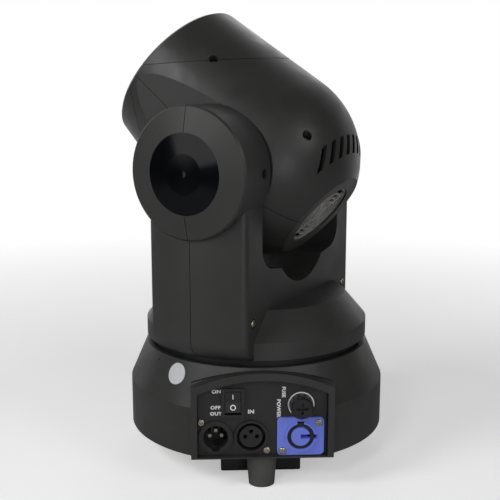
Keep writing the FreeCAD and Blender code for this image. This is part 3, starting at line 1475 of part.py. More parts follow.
def make_fan():
    offset = size("optic_offset")
    rear = HEAD * Placement(V(0, offset, size("rear_reach")), Rotation())
    body = new_body("fan_frame")
    start = "(grille_recess + grille_thickness + 0.2)"
    square = new_sketch(body, "XY_Plane", start)
    half = "(fan_side / 2)"
    box_outline(square, f"-{half}", half, f"-{half}", half)
    pad(body, square, "fan_depth")
    round_edges(body, "fan_corner", is_upright)
    bore = new_sketch(body, "XY_Plane", f"{start} + fan_depth")
    ring(bore, "0", "0", "fan_bore_radius")
    pocket(body, bore, "fan_depth")
    hub = new_sketch(body, "XY_Plane", f"{start} + fan_depth")
    ring(hub, "0", "0", "fan_hub_radius")
    pad(body, hub, "2", back=True)
    pin = new_sketch(body, "XY_Plane", f"{start} + fan_depth - 2")
    ring(pin, "0", "0", "fan_pin_radius")
    pad(body, pin, "fan_depth - 3", back=True)
    for i in range(2):
        arms = new_sketch(body, "XY_Plane", f"{start} + fan_depth")
        reach = "(fan_bore_radius + 0.5)"
        if i == 0:
            box_outline(arms, f"-{reach}", reach, "-1.2", "1.2")
        else:
            box_outline(arms, "-1.2", "1.2", f"-{reach}", reach)
        pad(body, arms, "2", back=True)
    keep(body, "fan_frame", rear)

    hub_low = size(start) + 0.8
    hub_high = size(f"{start} + fan_depth") - 2.6
    rotor = Part.makeCylinder(size("fan_hub_radius"), hub_high - hub_low, V(0, 0, hub_low))
    blade_depth = (hub_high - hub_low) * 0.85
    inner = size("fan_hub_radius") - 1
    outer = size("fan_bore_radius") - 0.6
    mid = (hub_low + hub_high) / 2
    for i in range(7):
        blade = Part.makeBox(outer - inner, 1.2, blade_depth / math.cos(math.radians(35)),
                             V(inner, -0.6, -blade_depth / 2 / math.cos(math.radians(35))))
        blade.rotate(V(0, 0, 0), V(1, 0, 0), 50)
        blade.translate(V(0, 0, mid))
        blade.rotate(V(0, 0, 0), V(0, 0, 1), i * 360 / 7)
        rotor = rotor.fuse(blade)
    band = Part.makeCylinder(outer, hub_high - hub_low, V(0, 0, hub_low))
    rotor = rotor.common(band)
    bore = Part.makeCylinder(size("fan_pin_radius + run_gap"), 40, V(0, 0, -10))
    solid_feature("fan_rotor", rotor.cut(bore), rear)

    body = new_body("fan_grille")
    rings = new_sketch(body, "XY_Plane", "grille_recess")
    ring(rings, "0", "0", "grille_radius - run_gap")
    ring(rings, "0", "0", "grille_radius - 2")
    for i in range(3):
        edge = f"(grille_radius - 2 - {i + 1} * (grille_radius - 2 - grille_hub_radius) / 4)"
        ring(rings, "0", "0", f"{edge} + grille_ring / 2")
        ring(rings, "0", "0", f"{edge} - grille_ring / 2")
    ring(rings, "0", "0", "grille_hub_radius")
    pad(body, rings, "grille_thickness")
    spokes = new_sketch(body, "XY_Plane", "grille_recess")
    long = "(grille_radius - 1)"
    thin = "grille_ring"
    outline(spokes, [
        (f"-{long}", f"-{thin}"), (f"-{thin}", f"-{thin}"), (f"-{thin}", f"-{long}"),
        (thin, f"-{long}"), (thin, f"-{thin}"), (long, f"-{thin}"),
        (long, thin), (thin, thin), (thin, long),
        (f"-{thin}", long), (f"-{thin}", thin), (f"-{long}", thin),
    ])
    pad(body, spokes, "grille_thickness")
    turned_by = Placement(V(0, 0, 0), Rotation(V(0, 0, 1), 45))
    keep(body, "fan_grille", rear * turned_by)


make_base_shell()
make_base_plate()
make_feet()
make_bracket()
make_panel()
make_panel_screws()
make_output_socket()
make_input_socket()
make_inlet()
make_fuse()
make_switch()
make_menu()
make_pan_drive()
make_electronics()
make_turntable()
make_fork()
make_badges()
make_yoke_frame()
make_tilt_drive()
make_head_shells()
make_optics()
make_chassis()
make_fan()
doc.recompute()

for item in doc.Objects:
    if "Invalid" in item.State or "Error" in item.State:
        raise RuntimeError(f"{item.Name} failed to build: {item.State}")
for node in NODES:
    if node.Shape.isNull() or not node.Shape.isValid():
        raise RuntimeError(f"{node.Label} has no valid shape")

os.makedirs("parts", exist_ok=True)
for node in NODES:
    node.Shape.exportStep(f"parts/{node.Label}.step")
    print(f"{node.Label}: {len(node.Shape.Solids)} solid, {node.Shape.Volume / 1000:.2f} cm3")
print(f"{len(NODES)} nodes")
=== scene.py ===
"""Dress the moving head light: its finishes, printed words, sticker and studio.

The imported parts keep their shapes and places. Each sub-assembly is a class that holds its sizes in
millimetres, builds the small pieces it adds, and puts a finish on the parts it is made of.
"""
from __future__ import annotations

import json
import logging
import math
from dataclasses import dataclass, field
from enum import Enum
from typing import Sequence

import bmesh
import bpy
from mathutils import Matrix, Vector

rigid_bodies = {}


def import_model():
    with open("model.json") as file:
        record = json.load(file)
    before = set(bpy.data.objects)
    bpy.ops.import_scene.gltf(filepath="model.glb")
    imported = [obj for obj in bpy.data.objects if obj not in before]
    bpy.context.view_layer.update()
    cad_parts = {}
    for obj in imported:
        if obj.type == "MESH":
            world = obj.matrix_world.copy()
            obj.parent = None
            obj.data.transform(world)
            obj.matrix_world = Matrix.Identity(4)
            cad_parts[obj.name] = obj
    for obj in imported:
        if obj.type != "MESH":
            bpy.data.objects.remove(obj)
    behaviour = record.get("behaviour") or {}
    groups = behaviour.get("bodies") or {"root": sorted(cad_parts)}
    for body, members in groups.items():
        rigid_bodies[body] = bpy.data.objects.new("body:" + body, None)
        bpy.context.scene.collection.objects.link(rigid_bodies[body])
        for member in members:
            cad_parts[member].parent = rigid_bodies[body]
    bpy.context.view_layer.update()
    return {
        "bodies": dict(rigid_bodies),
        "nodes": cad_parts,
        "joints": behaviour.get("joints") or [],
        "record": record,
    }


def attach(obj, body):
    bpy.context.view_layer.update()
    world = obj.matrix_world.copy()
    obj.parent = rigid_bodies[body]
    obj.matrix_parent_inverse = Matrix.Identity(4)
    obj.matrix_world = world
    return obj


LOG = logging.getLogger("moving_head")
MM = 0.001

Colour = tuple[float, float, float, float]
Shape = bmesh.types.BMesh
Socket = bpy.types.NodeSocket
Tree = bpy.types.NodeTree

WHITE: Colour = (1.0, 1.0, 1.0, 1.0)
# The sRGB curve: a straight line up to the knee and a power above it
SRGB_KNEE = 0.04045
SRGB_SLOPE = 12.92
SRGB_OFFSET = 0.055
SRGB_POWER = 2.4
# Takes X across a wall, Y up it and Z out of it, with the wall facing -Y
UPRIGHT = Matrix(((1, 0, 0, 0), (0, 0, -1, 0), (0, 1, 0, 0), (0, 0, 0, 1)))

# Every finish varies in colour over patches this size, and in roughness over patches a bit smaller
CLOUD_MM = 28
WEAR_MM = 17
# Faint specks, a little wider than the grain, take this share of the colour's variation
SPECK_GRAINS = 1.6
SPECK_SHARE = 0.35
# The noise values between which the two tints, and the two roughnesses, blend
TINT_SPAN = (0.35, 0.65)
WEAR_SPAN = (0.3, 0.7)
# A brushed grain is drawn out along Z
BRUSH_STRETCH = (1.0, 1.0, 0.04)

# A capital letter's height goes this many times into the font's size
EM_PER_CAPITAL = 1.38
LETTER_SPACING = 1.05
LETTER_CURVE_STEPS = 3
# Screen ink spreads a little past the drawn outline
INK_SPREAD_MM = 0.13
# Vertices closer than this many metres are one
WELD = 1e-6


def linear(hex_colour: str) -> Colour:
    """Turn an sRGB hex colour into linear values.

    Args:
        hex_colour: six hex digits after a hash.

    Returns:
        Red, green, blue and a full alpha, linear.
    """
    digits = hex_colour.lstrip("#")
    parts = [int(digits[i:i + 2], 16) / 255 for i in (0, 2, 4)]
    red, green, blue = [
        p / SRGB_SLOPE if p <= SRGB_KNEE else ((p + SRGB_OFFSET) / (1 + SRGB_OFFSET)) ** SRGB_POWER
        for p in parts]
    return red, green, blue, 1.0


def add_node(tree: Tree, kind: str, settings: dict | None = None,
             links: dict | None = None) -> bpy.types.Node:
    """Add a node with its settings and links.

    Args:
        tree: the node tree of a material or of the world.
        kind: the node's type name.
        settings: node attributes, or input sockets by name or number, and the values they get.
        links: input sockets, by name or number, and the output sockets that feed them.

    Returns:
        The new node.
    """
    node = tree.nodes.new(kind)
    for key, value in (settings or {}).items():
        if isinstance(key, str) and hasattr(node, key):
            setattr(node, key, value)
        else:
            node.inputs[key].default_value = value
    for key, source in (links or {}).items():
        tree.links.new(source, node.inputs[key])
    return node


def repeats(size_mm: float) -> float:
    """Return a texture scale at which one feature is so many millimetres across."""
    return 1.0 / (size_mm * MM)


class Grain(Enum):
    """The small relief that a finish shows."""

    SPARK = "even pits from a spark-eroded mould"
    ORANGE = "soft bumps of sprayed powder"
    BRUSHED = "fine straight scratches"
    SMOOTH = "nearly polished"


@dataclass(frozen=True)
class Finish:
    """One surface finish: what the material is and how it was made.

    The grain sizes are real ones, drawn no finer than about 0.5 mm where they have to show in the
    picture, whose pixels are about 0.65 mm across. A metal has no IOR of its own.
    """

    name: str
    base: str
    tint: str
    roughness: float
    grain: Grain = Grain.SPARK
    grain_mm: float = 0.6
    relief_mm: float = 0.02
    metallic: float = 0.0
    ior: float | None = 1.5
    coat: float = 0.0
    coat_roughness: float = 0.05
    transmission: float = 0.0
    spread: float = 0.06

    def colour(self, tree: Tree, place: Socket) -> Socket:
        """Mix the two tints in slow clouds, with faint specks over them.

        Args:
            tree: the material's node tree.
            place: the object coordinates.

        Returns:
            The colour socket.
        """
        clouds = add_node(tree, "ShaderNodeTexNoise", {"Scale": repeats(CLOUD_MM), "Detail": 3.0},
                          {"Vector": place})
        specks = add_node(tree, "ShaderNodeTexNoise",
                          {"Scale": repeats(self.grain_mm * SPECK_GRAINS), "Detail": 1.0},
                          {"Vector": place})
        both = add_node(tree, "ShaderNodeMix", {"data_type": "FLOAT", 0: SPECK_SHARE},
                        {2: clouds.outputs["Fac"], 3: specks.outputs["Fac"]})
        ramp = add_node(tree, "ShaderNodeValToRGB", {}, {"Fac": both.outputs[0]})
        for stop, at, shade in zip(ramp.color_ramp.elements, TINT_SPAN, (self.base, self.tint)):
            stop.position = at
            stop.color = linear(shade)
        return ramp.outputs["Color"]

    def height(self, tree: Tree, place: Socket) -> Socket:
        """Return the relief that goes with the grain."""
        scale = repeats(self.grain_mm)
        if self.grain is Grain.BRUSHED:
            drawn = add_node(tree, "ShaderNodeMapping", {"Scale": BRUSH_STRETCH}, {"Vector": place})
            noise = add_node(tree, "ShaderNodeTexNoise", {"Scale": scale, "Detail": 4.0},
                             {"Vector": drawn.outputs["Vector"]})
            return noise.outputs["Fac"]
        if self.grain is Grain.ORANGE:
            cells = add_node(tree, "ShaderNodeTexVoronoi", {"feature": "SMOOTH_F1", "Scale": scale},
                             {"Vector": place})
            return cells.outputs["Distance"]
        noise = add_node(tree, "ShaderNodeTexNoise",
                         {"Scale": scale, "Detail": 2.0, "Roughness": 0.6}, {"Vector": place})
        return noise.outputs["Fac"]

    def material(self) -> bpy.types.Material:
        """Make the material once and return it on every later call."""
        found = bpy.data.materials.get(self.name)
        if found is not None:
            return found
        made = bpy.data.materials.new(self.name)
        made.use_nodes = True
        tree = made.node_tree
        tree.nodes.clear()
        place = add_node(tree, "ShaderNodeTexCoord").outputs["Object"]
        bump = add_node(tree, "ShaderNodeBump", {"Strength": 1.0, "Distance": self.relief_mm * MM},
                        {"Height": self.height(tree, place)})
        wear = add_node(tree, "ShaderNodeTexNoise", {"Scale": repeats(WEAR_MM), "Detail": 5.0},
                        {"Vector": place})
        rough = add_node(tree, "ShaderNodeMapRange", {
            "From Min": WEAR_SPAN[0], "From Max": WEAR_SPAN[1],
            "To Min": max(0.0, self.roughness - self.spread),
            "To Max": min(1.0, self.roughness + self.spread)}, {"Value": wear.outputs["Fac"]})
        shader = add_node(tree, "ShaderNodeBsdfPrincipled", {
            "Metallic": self.metallic, "Coat Weight": self.coat,
            "Coat Roughness": self.coat_roughness, "Transmission Weight": self.transmission},
            {"Base Color": self.colour(tree, place), "Roughness": rough.outputs["Result"],
             "Normal": bump.outputs["Normal"]})
        if self.ior is not None and self.metallic == 0:
            shader.inputs["IOR"].default_value = self.ior
        add_node(tree, "ShaderNodeOutputMaterial", {}, {"Surface": shader.outputs["BSDF"]})
        return made


# Charcoal ABS from a spark-eroded mould: an even matt face that turns pale where light grazes it
HOUSING_ABS = Finish("charcoal_moulded_abs", "#30302f", "#353534", 0.46, Grain.SPARK, 0.7, 0.03)
# The head's shells are the same plastic from a finer mould: their highlights are a little tighter
HEAD_ABS = Finish("charcoal_head_abs", "#2f2f2e", "#343433", 0.43, Grain.SPARK, 0.6, 0.024)
# Plain black moulded ABS: a dull dark ring where light seldom falls
BLACK_ABS = Finish("black_moulded_abs", "#17171a", "#1f1f21", 0.5, Grain.SPARK, 0.6, 0.02)
# Powder-coated steel plate: soft bumps break up the glints
PANEL_POWDER = Finish("black_powder_coated_panel", "#262626", "#2c2c2c", 0.55,
                      Grain.ORANGE, 0.8, 0.03)
# The hanging strap is black powder-coated steel, darkened further to near black as painted shade for
# the shadow under the base, so it stays a silhouette
BRACKET_SHADED_POWDER = Finish("black_powder_steel_painted_shade", "#050505", "#070707", 0.55,
                        Grain.ORANGE, 0.8, 0.03)
# Moulded glass-filled nylon of the sockets: dark, with a slight sheen on its rims; the dark ring in
# the inlet's groove uses it too, as painted shade
SOCKET_NYLON = Finish("black_socket_nylon", "#232324", "#2c2c2d", 0.38, Grain.SPARK, 0.5, 0.01)
# Moulded nylon of the switch: smoother, so its edges catch a soft light
SWITCH_NYLON = Finish("black_switch_nylon", "#262627", "#303031", 0.33, Grain.SMOOTH, 0.9, 0.006)
# Pressed phenolic of the fuse cap: glossy black with clear glints on its grooves
FUSE_PHENOLIC = Finish("black_fuse_phenolic", "#1d1d1d", "#272726", 0.32, Grain.SMOOTH, 0.8, 0.006)
# Moulded blue polyamide of the mains inlet: saturated and waxy
INLET_POLYAMIDE = Finish("blue_inlet_polyamide", "#7487f4", "#8090f7", 0.36,
                         Grain.SMOOTH, 0.9, 0.008)
# Silver-plated contacts: small bright glints
CONTACT_PLATE = Finish("silver_plated_contact", "#a9a394", "#b8b2a4", 0.22,
                       Grain.SMOOTH, 0.5, 0.004, metallic=1.0, ior=None)
# Nickel-plated screws: warm pale glints in their recesses
SCREW_NICKEL = Finish("nickel_plated_screw", "#b9b2a0", "#cfc8b6", 0.28,
                      Grain.SMOOTH, 0.5, 0.006, metallic=1.0, ior=None)
# Dark tinted acrylic over the display: a clear mirror-like face
DISPLAY_ACRYLIC = Finish("tinted_display_acrylic", "#0b1016", "#0e141b", 0.08,
                         Grain.SMOOTH, 2.0, 0.002, coat=1.0, spread=0.02)
# Solder mask sprayed over a circuit board: a glossy green
CIRCUIT_MASK = Finish("green_solder_mask", "#1c5a33", "#237040", 0.35,
                      Grain.SMOOTH, 1.2, 0.02, coat=0.3)
# Moulded silicone keys: a soft matt grey
BUTTON_RUBBER = Finish("grey_silicone_button", "#4d4d4f", "#565658", 0.55, Grain.SPARK, 0.5, 0.01)
# Ground steel of the bearings: bright, with fine scratches round it
BEARING_STEEL = Finish("ground_bearing_steel", "#9c9da1", "#aeafb3", 0.25,
                       Grain.BRUSHED, 0.4, 0.006, metallic=1.0, ior=None)
# Zinc-plated sheet: pale with a faint yellow cast and rolled streaks
ZINC_SHEET = Finish("zinc_plated_sheet", "#a3a29b", "#b7b6ad", 0.36,
                    Grain.BRUSHED, 0.5, 0.01, metallic=1.0, ior=None)
# Turned aluminium wheels: pale, with the tool's fine marks
TURNED_ALUMINIUM = Finish("turned_aluminium", "#b4b6b9", "#c4c6c8", 0.3,
                          Grain.BRUSHED, 0.4, 0.01, metallic=1.0, ior=None)
# Extruded aluminium fins: duller and greyer, with drawn streaks
SINK_ALUMINIUM = Finish("extruded_aluminium_sink", "#8b8d90", "#9b9da0", 0.4,
                        Grain.BRUSHED, 0.5, 0.02, metallic=1.0, ior=None)
# Sprayed enamel on the motors' cans: a soft black shine
MOTOR_ENAMEL = Finish("black_motor_enamel", "#1b1b1e", "#242427", 0.4, Grain.ORANGE, 0.7, 0.02)
# Moulded neoprene of the toothed belts: flat black
BELT_NEOPRENE = Finish("black_belt_neoprene", "#141414", "#1c1c1c", 0.7, Grain.SPARK, 0.5, 0.04)
# Moulded grey-black rubber: very matt, with a faint bloom of dust
FOOT_RUBBER = Finish("matt_foot_rubber", "#4c4c49", "#565652", 0.72, Grain.SPARK, 0.6, 0.03)
# Black resin poured over the hub's disc: a dark face with weak, sharp reflections
BADGE_RESIN = Finish("black_domed_resin", "#07080b", "#0a0b0f", 0.1,
                     Grain.SMOOTH, 6.0, 0.004, ior=1.22, spread=0.02)
# Polished glass of the front lens: clear, with sharp reflections
LENS_GLASS = Finish("clear_lens_glass", "#f1f7fa", "#f7fbfd", 0.03,
                    Grain.SMOOTH, 5.0, 0.0, ior=1.52, transmission=0.95, spread=0.01)
# Moulded matt trim round the optic: takes stray light away
OPTIC_BLACK = Finish("matt_black_optic_trim", "#121214", "#19191b", 0.6, Grain.SPARK, 0.6, 0.02)
# Phosphor cast over the light source: a flat yellow patch
LED_PHOSPHOR = Finish("yellow_led_phosphor", "#d8c263", "#e4d07a", 0.4, Grain.SMOOTH, 1.0, 0.01)
# Moulded plastic of the fan's rotor and frame: a soft black
FAN_PLASTIC = Finish("black_fan_plastic", "#141415", "#1b1b1c", 0.42, Grain.SPARK, 0.6, 0.01)
# Light grey powder on the fan guard: soft bumps and a pale sheen
GRILLE_COATING = Finish("light_grey_guard_coating", "#8d8c89", "#999895", 0.4,
                        Grain.ORANGE, 0.7, 0.015)
# Screen-printed ink: flat white; the ring on the fuse flange uses it too, as a painted highlight
WHITE_INK = Finish("white_screen_ink", "#f2f2f5", "#fafafc", 0.55, Grain.SMOOTH, 0.5, 0.006)
# Varnished paper of the sticker: cool white with a thin gloss
STICKER_PAPER = Finish("white_gloss_sticker", "#d6dade", "#e4e7ea", 0.42,
                       Grain.SMOOTH, 2.0, 0.01, coat=0.2)
# The shade inside a moulding's parting lines and pits: nearly black and matt
SEAM_SHADE = Finish("painted_seam_shade", "#0e0e0e", "#141414", 0.8, Grain.SPARK, 0.6, 0.01)

SLOT_FINISHES: dict[str, Finish] = {
    "housing": HOUSING_ABS, "head_housing": HEAD_ABS, "collar": BLACK_ABS, "panel": PANEL_POWDER,
    "socket": SOCKET_NYLON, "pins": CONTACT_PLATE, "inlet": INLET_POLYAMIDE, "fuse": FUSE_PHENOLIC,
    "switch": SWITCH_NYLON, "display": DISPLAY_ACRYLIC, "circuit_board": CIRCUIT_MASK,
    "button": BUTTON_RUBBER, "bearing": BEARING_STEEL, "steel_sheet": ZINC_SHEET,
    "wheel": TURNED_ALUMINIUM, "motor": MOTOR_ENAMEL, "belt": BELT_NEOPRENE, "feet": FOOT_RUBBER,
    "bracket": BRACKET_SHADED_POWDER, "badge": BADGE_RESIN, "screws": SCREW_NICKEL, "optic": LENS_GLASS,
    "optic_trim": OPTIC_BLACK, "sink": SINK_ALUMINIUM, "led": LED_PHOSPHOR, "fan": FAN_PLASTIC,
    "grille": GRILLE_COATING,
}


def piece_from(mesh: Shape, name: str, finish: Finish, body: str) -> bpy.types.Object:
    """Turn a finished bmesh into a piece of the object.

    Args:
        mesh: the shape, in metres and in the object's own frame.
        name: the piece's name.
        finish: what it is made of.
        body: the body that it moves with.

    Returns:
        The new object, with its place in its mesh.
    """
    data = bpy.data.meshes.new(name)
    mesh.to_mesh(data)
    mesh.free()
    data.materials.append(finish.material())
    made = bpy.data.objects.new(name, data)
    bpy.context.scene.collection.objects.link(made)
    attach(made, body)
    LOG.info("made %s with %d faces, riding on %s", name, len(data.polygons), body)
    return made


def join(shapes: Sequence[Shape]) -> Shape:
    """Join several shapes into one and free them.

    Args:
        shapes: the shapes to join.

    Returns:
        One shape that holds them all.
    """
    whole = bmesh.new()
    for shape in shapes:
        data = bpy.data.meshes.new("part")
        shape.to_mesh(data)
        whole.from_mesh(data)
        bpy.data.meshes.remove(data)
        shape.free()
    return whole


def circle(radius: float, sides: int, height: float = 0.0) -> list[Vector]:
    """Return the corners of a many-sided circle round Z."""
    turns = [math.tau * k / sides for k in range(sides)]
    return [Vector((radius * math.cos(a), radius * math.sin(a), height)) for a in turns]


def grown_verts(step: dict) -> list[bmesh.types.BMVert]:
    """Return the vertices among what an extrusion made."""
    return [item for item in step["geom"] if isinstance(item, bmesh.types.BMVert)]


def sweep(path: Sequence[Vector], radius: float, sides: int = 8) -> Shape:
    """Build a thin closed rod along a path.

    Args:
        path: the points, in millimetres.
        radius: the rod's radius, in millimetres.
        sides: how many sides its section has.

    Returns:
        The rod, in metres.
    """
    rod = bmesh.new()
    rings = []
    for i, point in enumerate(path):
        ahead = path[min(i + 1, len(path) - 1)] - path[max(i - 1, 0)]
        turned = ahead.to_track_quat("Z", "Y").to_matrix()
        rings.append([rod.verts.new((point + turned @ spot) * MM)
                      for spot in circle(radius, sides)])
    for low, high in zip(rings, rings[1:]):
        for k in range(sides):
            after = (k + 1) % sides
            rod.faces.new((low[k], low[after], high[after], high[k]))
    rod.faces.new(rings[0][::-1])
    rod.faces.new(rings[-1])
    bmesh.ops.recalc_face_normals(rod, faces=rod.faces)
    return rod


def disc(radius: float, thickness: float, rings: int = 6, sides: int = 48) -> Shape:
    """Build a flat disc in millimetres, with inner rings so that it can follow a curved face.

    Args:
        radius: its radius.
        thickness: how thick it is.
        rings: how many rings it has.
        sides: how many sides each ring has.

    Returns:
        The disc, lying on XY with its back at zero.
    """
    plate = bmesh.new()
    middle = plate.verts.new((0, 0, 0))
    inner = None
    for i in range(1, rings + 1):
        outer = [plate.verts.new(spot) for spot in circle(radius * i / rings, sides)]
        for k in range(sides):
            after = (k + 1) % sides
            corners = (middle, outer[k], outer[after])
            if inner is not None:
                corners = (inner[k], outer[k], outer[after], inner[after])
            plate.faces.new(corners)
        inner = outer
    top = grown_verts(bmesh.ops.extrude_face_region(plate, geom=list(plate.faces)))
    bmesh.ops.translate(plate, vec=(0, 0, thickness), verts=top)
    bmesh.ops.recalc_face_normals(plate, faces=plate.faces)
    return plate


def washer(inner: float, outer: float, thickness: float, sides: int = 64) -> Shape:
    """Build a flat ring in millimetres, lying on XY with its back at zero.

    Args:
        inner: its inner radius.
        outer: its outer radius.
        thickness: how thick it is.
        sides: how many sides its circles have.

    Returns:
        The ring.
    """
    ring = bmesh.new()
    section = ((outer, 0.0), (outer, thickness), (inner, thickness), (inner, 0.0))
    loops = [[ring.verts.new(spot) for spot in circle(radius, sides, height)]
             for radius, height in section]
    for i, low in enumerate(loops):
        high = loops[(i + 1) % len(loops)]
        for k in range(sides):
            after = (k + 1) % sides
            ring.faces.new((low[k], low[after], high[after], high[k]))
    bmesh.ops.recalc_face_normals(ring, faces=ring.faces)
    return ring


@dataclass
class Word:
    """One printed word on a flat face.

    The place is the word's middle on the face, in millimetres across and up.
    """

    text: str
    across: float
    up: float
    height: float
    turn: float = 0.0
    stretch: float = 1.0

    def mesh(self, onto: Matrix, thickness: float) -> Shape:
        """Build the word as thin raised ink.

        Args:
            onto: the face's place, with X across it, Y up it and Z out of it, in metres.
            thickness: how far the ink stands proud, in millimetres.

        Returns:
            The word's shape in the object's frame.
        """
        curve = bpy.data.curves.new("word", "FONT")
        curve.body = self.text
        curve.align_x = "CENTER"
        curve.align_y = "CENTER"
        curve.size = self.height * MM * EM_PER_CAPITAL
        curve.space_character = LETTER_SPACING
        curve.offset = INK_SPREAD_MM * MM
        curve.extrude = thickness * MM / 2
        curve.resolution_u = LETTER_CURVE_STEPS
        holder = bpy.data.objects.new("word", curve)
        bpy.context.scene.collection.objects.link(holder)
        bpy.context.view_layer.update()
        data = bpy.data.meshes.new_from_object(holder)
        shape = bmesh.new()
        shape.from_mesh(data)
        bpy.data.objects.remove(holder)
        bpy.data.curves.remove(curve)
        bpy.data.meshes.remove(data)
        bmesh.ops.remove_doubles(shape, verts=shape.verts, dist=WELD)
        place = (onto @ Matrix.Translation((self.across * MM, self.up * MM, thickness * MM / 2))
                 @ Matrix.Rotation(math.radians(self.turn), 4, "Z")
                 @ Matrix.Diagonal((self.stretch, 1, 1, 1)))
        bmesh.ops.transform(shape, matrix=place, verts=shape.verts)
        return shape


@dataclass
class RockerMarks:
    """The bar and the ring on the mains rocker.

    The rocker's face is a shallow V: each half rises away from the line over the pivot.
    """

    pivot: tuple[float, float, float] = (-19.5, -78.0, 60.4)
    lean: float = -8.0
    half_length: float = 6.8
    half_rise: float = 1.6
    mark_up: float = 3.5
    thickness: float = 0.3
    bar: tuple[float, float] = (0.7, 3.2)
    bar_edge: float = 0.05
    bar_out: float = 5.98
    ring_radius: float = 1.9
    ring_bore_share: float = 0.64
    ring_sides: int = 32
    ring_out: float = 6.05

    def draw_bar(self) -> Shape:
        """Build the bar with its edges broken, flat on XY and in metres."""
        bar = bmesh.new()
        bmesh.ops.create_cube(bar, size=1)
        sides = Matrix.Diagonal((self.bar[0] * MM, self.bar[1] * MM, self.thickness * MM, 1))
        bmesh.ops.transform(bar, verts=bar.verts, matrix=sides)
        bmesh.ops.bevel(bar, geom=list(bar.edges), offset=self.bar_edge * MM, segments=1,
                        profile=0.5, affect="EDGES", material=-1)
        return bar

    def draw_ring(self) -> Shape:
        """Build the ring, flat on XY and in metres."""
        ring = bmesh.new()
        bmesh.ops.create_circle(ring, segments=self.ring_sides, radius=self.ring_radius * MM)
        inner = grown_verts(bmesh.ops.extrude_edge_only(ring, edges=list(ring.edges)))
        share = self.ring_bore_share
        bmesh.ops.scale(ring, vec=(share, share, 1), verts=inner)
        bmesh.ops.solidify(ring, geom=list(ring.faces), thickness=self.thickness * MM)
        bmesh.ops.recalc_face_normals(ring, faces=ring.faces)
        return ring

    def dress(self) -> None:
        """Print the bar on the upper half and the ring on the lower one."""
        onto = (Matrix.Translation(Vector(self.pivot) * MM) @ UPRIGHT
                @ Matrix.Rotation(math.radians(self.lean), 4, "X"))
        slope = math.atan2(self.half_rise, self.half_length)
        bar, ring = self.draw_bar(), self.draw_ring()
        for mark, side, out in ((bar, 1, self.bar_out), (ring, -1, self.ring_out)):
            half = (Matrix.Translation((0, side * self.mark_up * MM, out * MM))
                    @ Matrix.Rotation(side * slope, 4, "X"))
            bmesh.ops.transform(mark, verts=mark.verts, matrix=onto @ half)
        piece_from(join([bar, ring]), "rocker_marks", WHITE_INK, "rocker")


@dataclass
class ConnectorPanel:
    """The flat plate at the back of the console, with its words and what lies on its fittings."""

    face: float = -82.0
    ink: float = 0.08
    words: list[Word] = field(default_factory=lambda: [
        Word("ON", -30.4, 68.0, 2.4, 0, 1.15), Word("OFF", -31.0, 56.9, 2.4, 0, 1.1),
        Word("OUT", -30.8, 52.7, 2.3, 0, 1.1), Word("IN", -7.6, 53.8, 2.7, 0, 1.1),
        Word("FUSE", 13.9, 67.2, 2.3, -90, 1.05), Word("POWER", 10.6, 56.0, 2.4, -90, 1.05)])
    rocker: RockerMarks = field(default_factory=RockerMarks)
    inlet: tuple[float, float] = (25.2, 36.9)
    inlet_core: float = 6.3
    inlet_bore: float = 9.0
    # The dark ring deep in the inlet's groove is painted shade: its slack, thickness and standoff
    groove_shade_slack: float = 0.05
    groove_shade_thickness: float = 0.6
    groove_shade_out: float = 0.6
    fuse: tuple[float, float] = (25.4, 58.8)
    # The white ring on the fuse holder's flange is a painted highlight: its radius, width and
    # thickness
    fuse_highlight_radius: float = 8.75
    fuse_highlight_width: float = 0.75
    fuse_highlight_thickness: float = 0.12
    fuse_flange: float = 1.4

    def front(self) -> Matrix:
        """Return the place of the panel's outer face: X to the right, Y up, Z out towards -Y."""
        return Matrix.Translation((0, self.face * MM, 0)) @ UPRIGHT

    def print_words(self) -> None:
        """Print the plain words beside the switch, sockets, fuse and inlet."""
        shape = join([word.mesh(self.front(), self.ink) for word in self.words])
        piece_from(shape, "panel_words", WHITE_INK, "base")

    def place_ring(self, ring: Shape, spot: tuple[float, float], out: float) -> Shape:
        """Move a ring drawn in millimetres to a spot in front of the panel."""
        place = (self.front() @ Matrix.Translation((spot[0] * MM, spot[1] * MM, out * MM))
                 @ Matrix.Diagonal((MM, MM, MM, 1)))
        bmesh.ops.transform(ring, matrix=place, verts=ring.verts)
        return ring

    def shade_inlet_groove(self) -> None:
        """Line the round groove of the inlet with a dark ring: painted shade deep in the groove."""
        groove_shade = washer(self.inlet_core + self.groove_shade_slack, self.inlet_bore - self.groove_shade_slack,
                       self.groove_shade_thickness)
        groove_shade = self.place_ring(groove_shade, self.inlet, self.groove_shade_out)
        piece_from(groove_shade, "inlet_groove_painted_shade", SOCKET_NYLON, "base")

    def paint_fuse_highlight(self) -> None:
        """Lay a white ring on the fuse holder's flange: a painted highlight along the flange's outer
        edge.
        """
        rim = washer(self.fuse_highlight_radius - self.fuse_highlight_width, self.fuse_highlight_radius, self.fuse_highlight_thickness)
        rim = self.place_ring(rim, self.fuse, self.fuse_flange)
        piece_from(rim, "fuse_flange_painted_highlight", WHITE_INK, "base")

    def dress(self) -> None:
        """Add the panel's own pieces."""
        self.print_words()
        self.rocker.dress()
        self.shade_inlet_groove()
        self.paint_fuse_highlight()


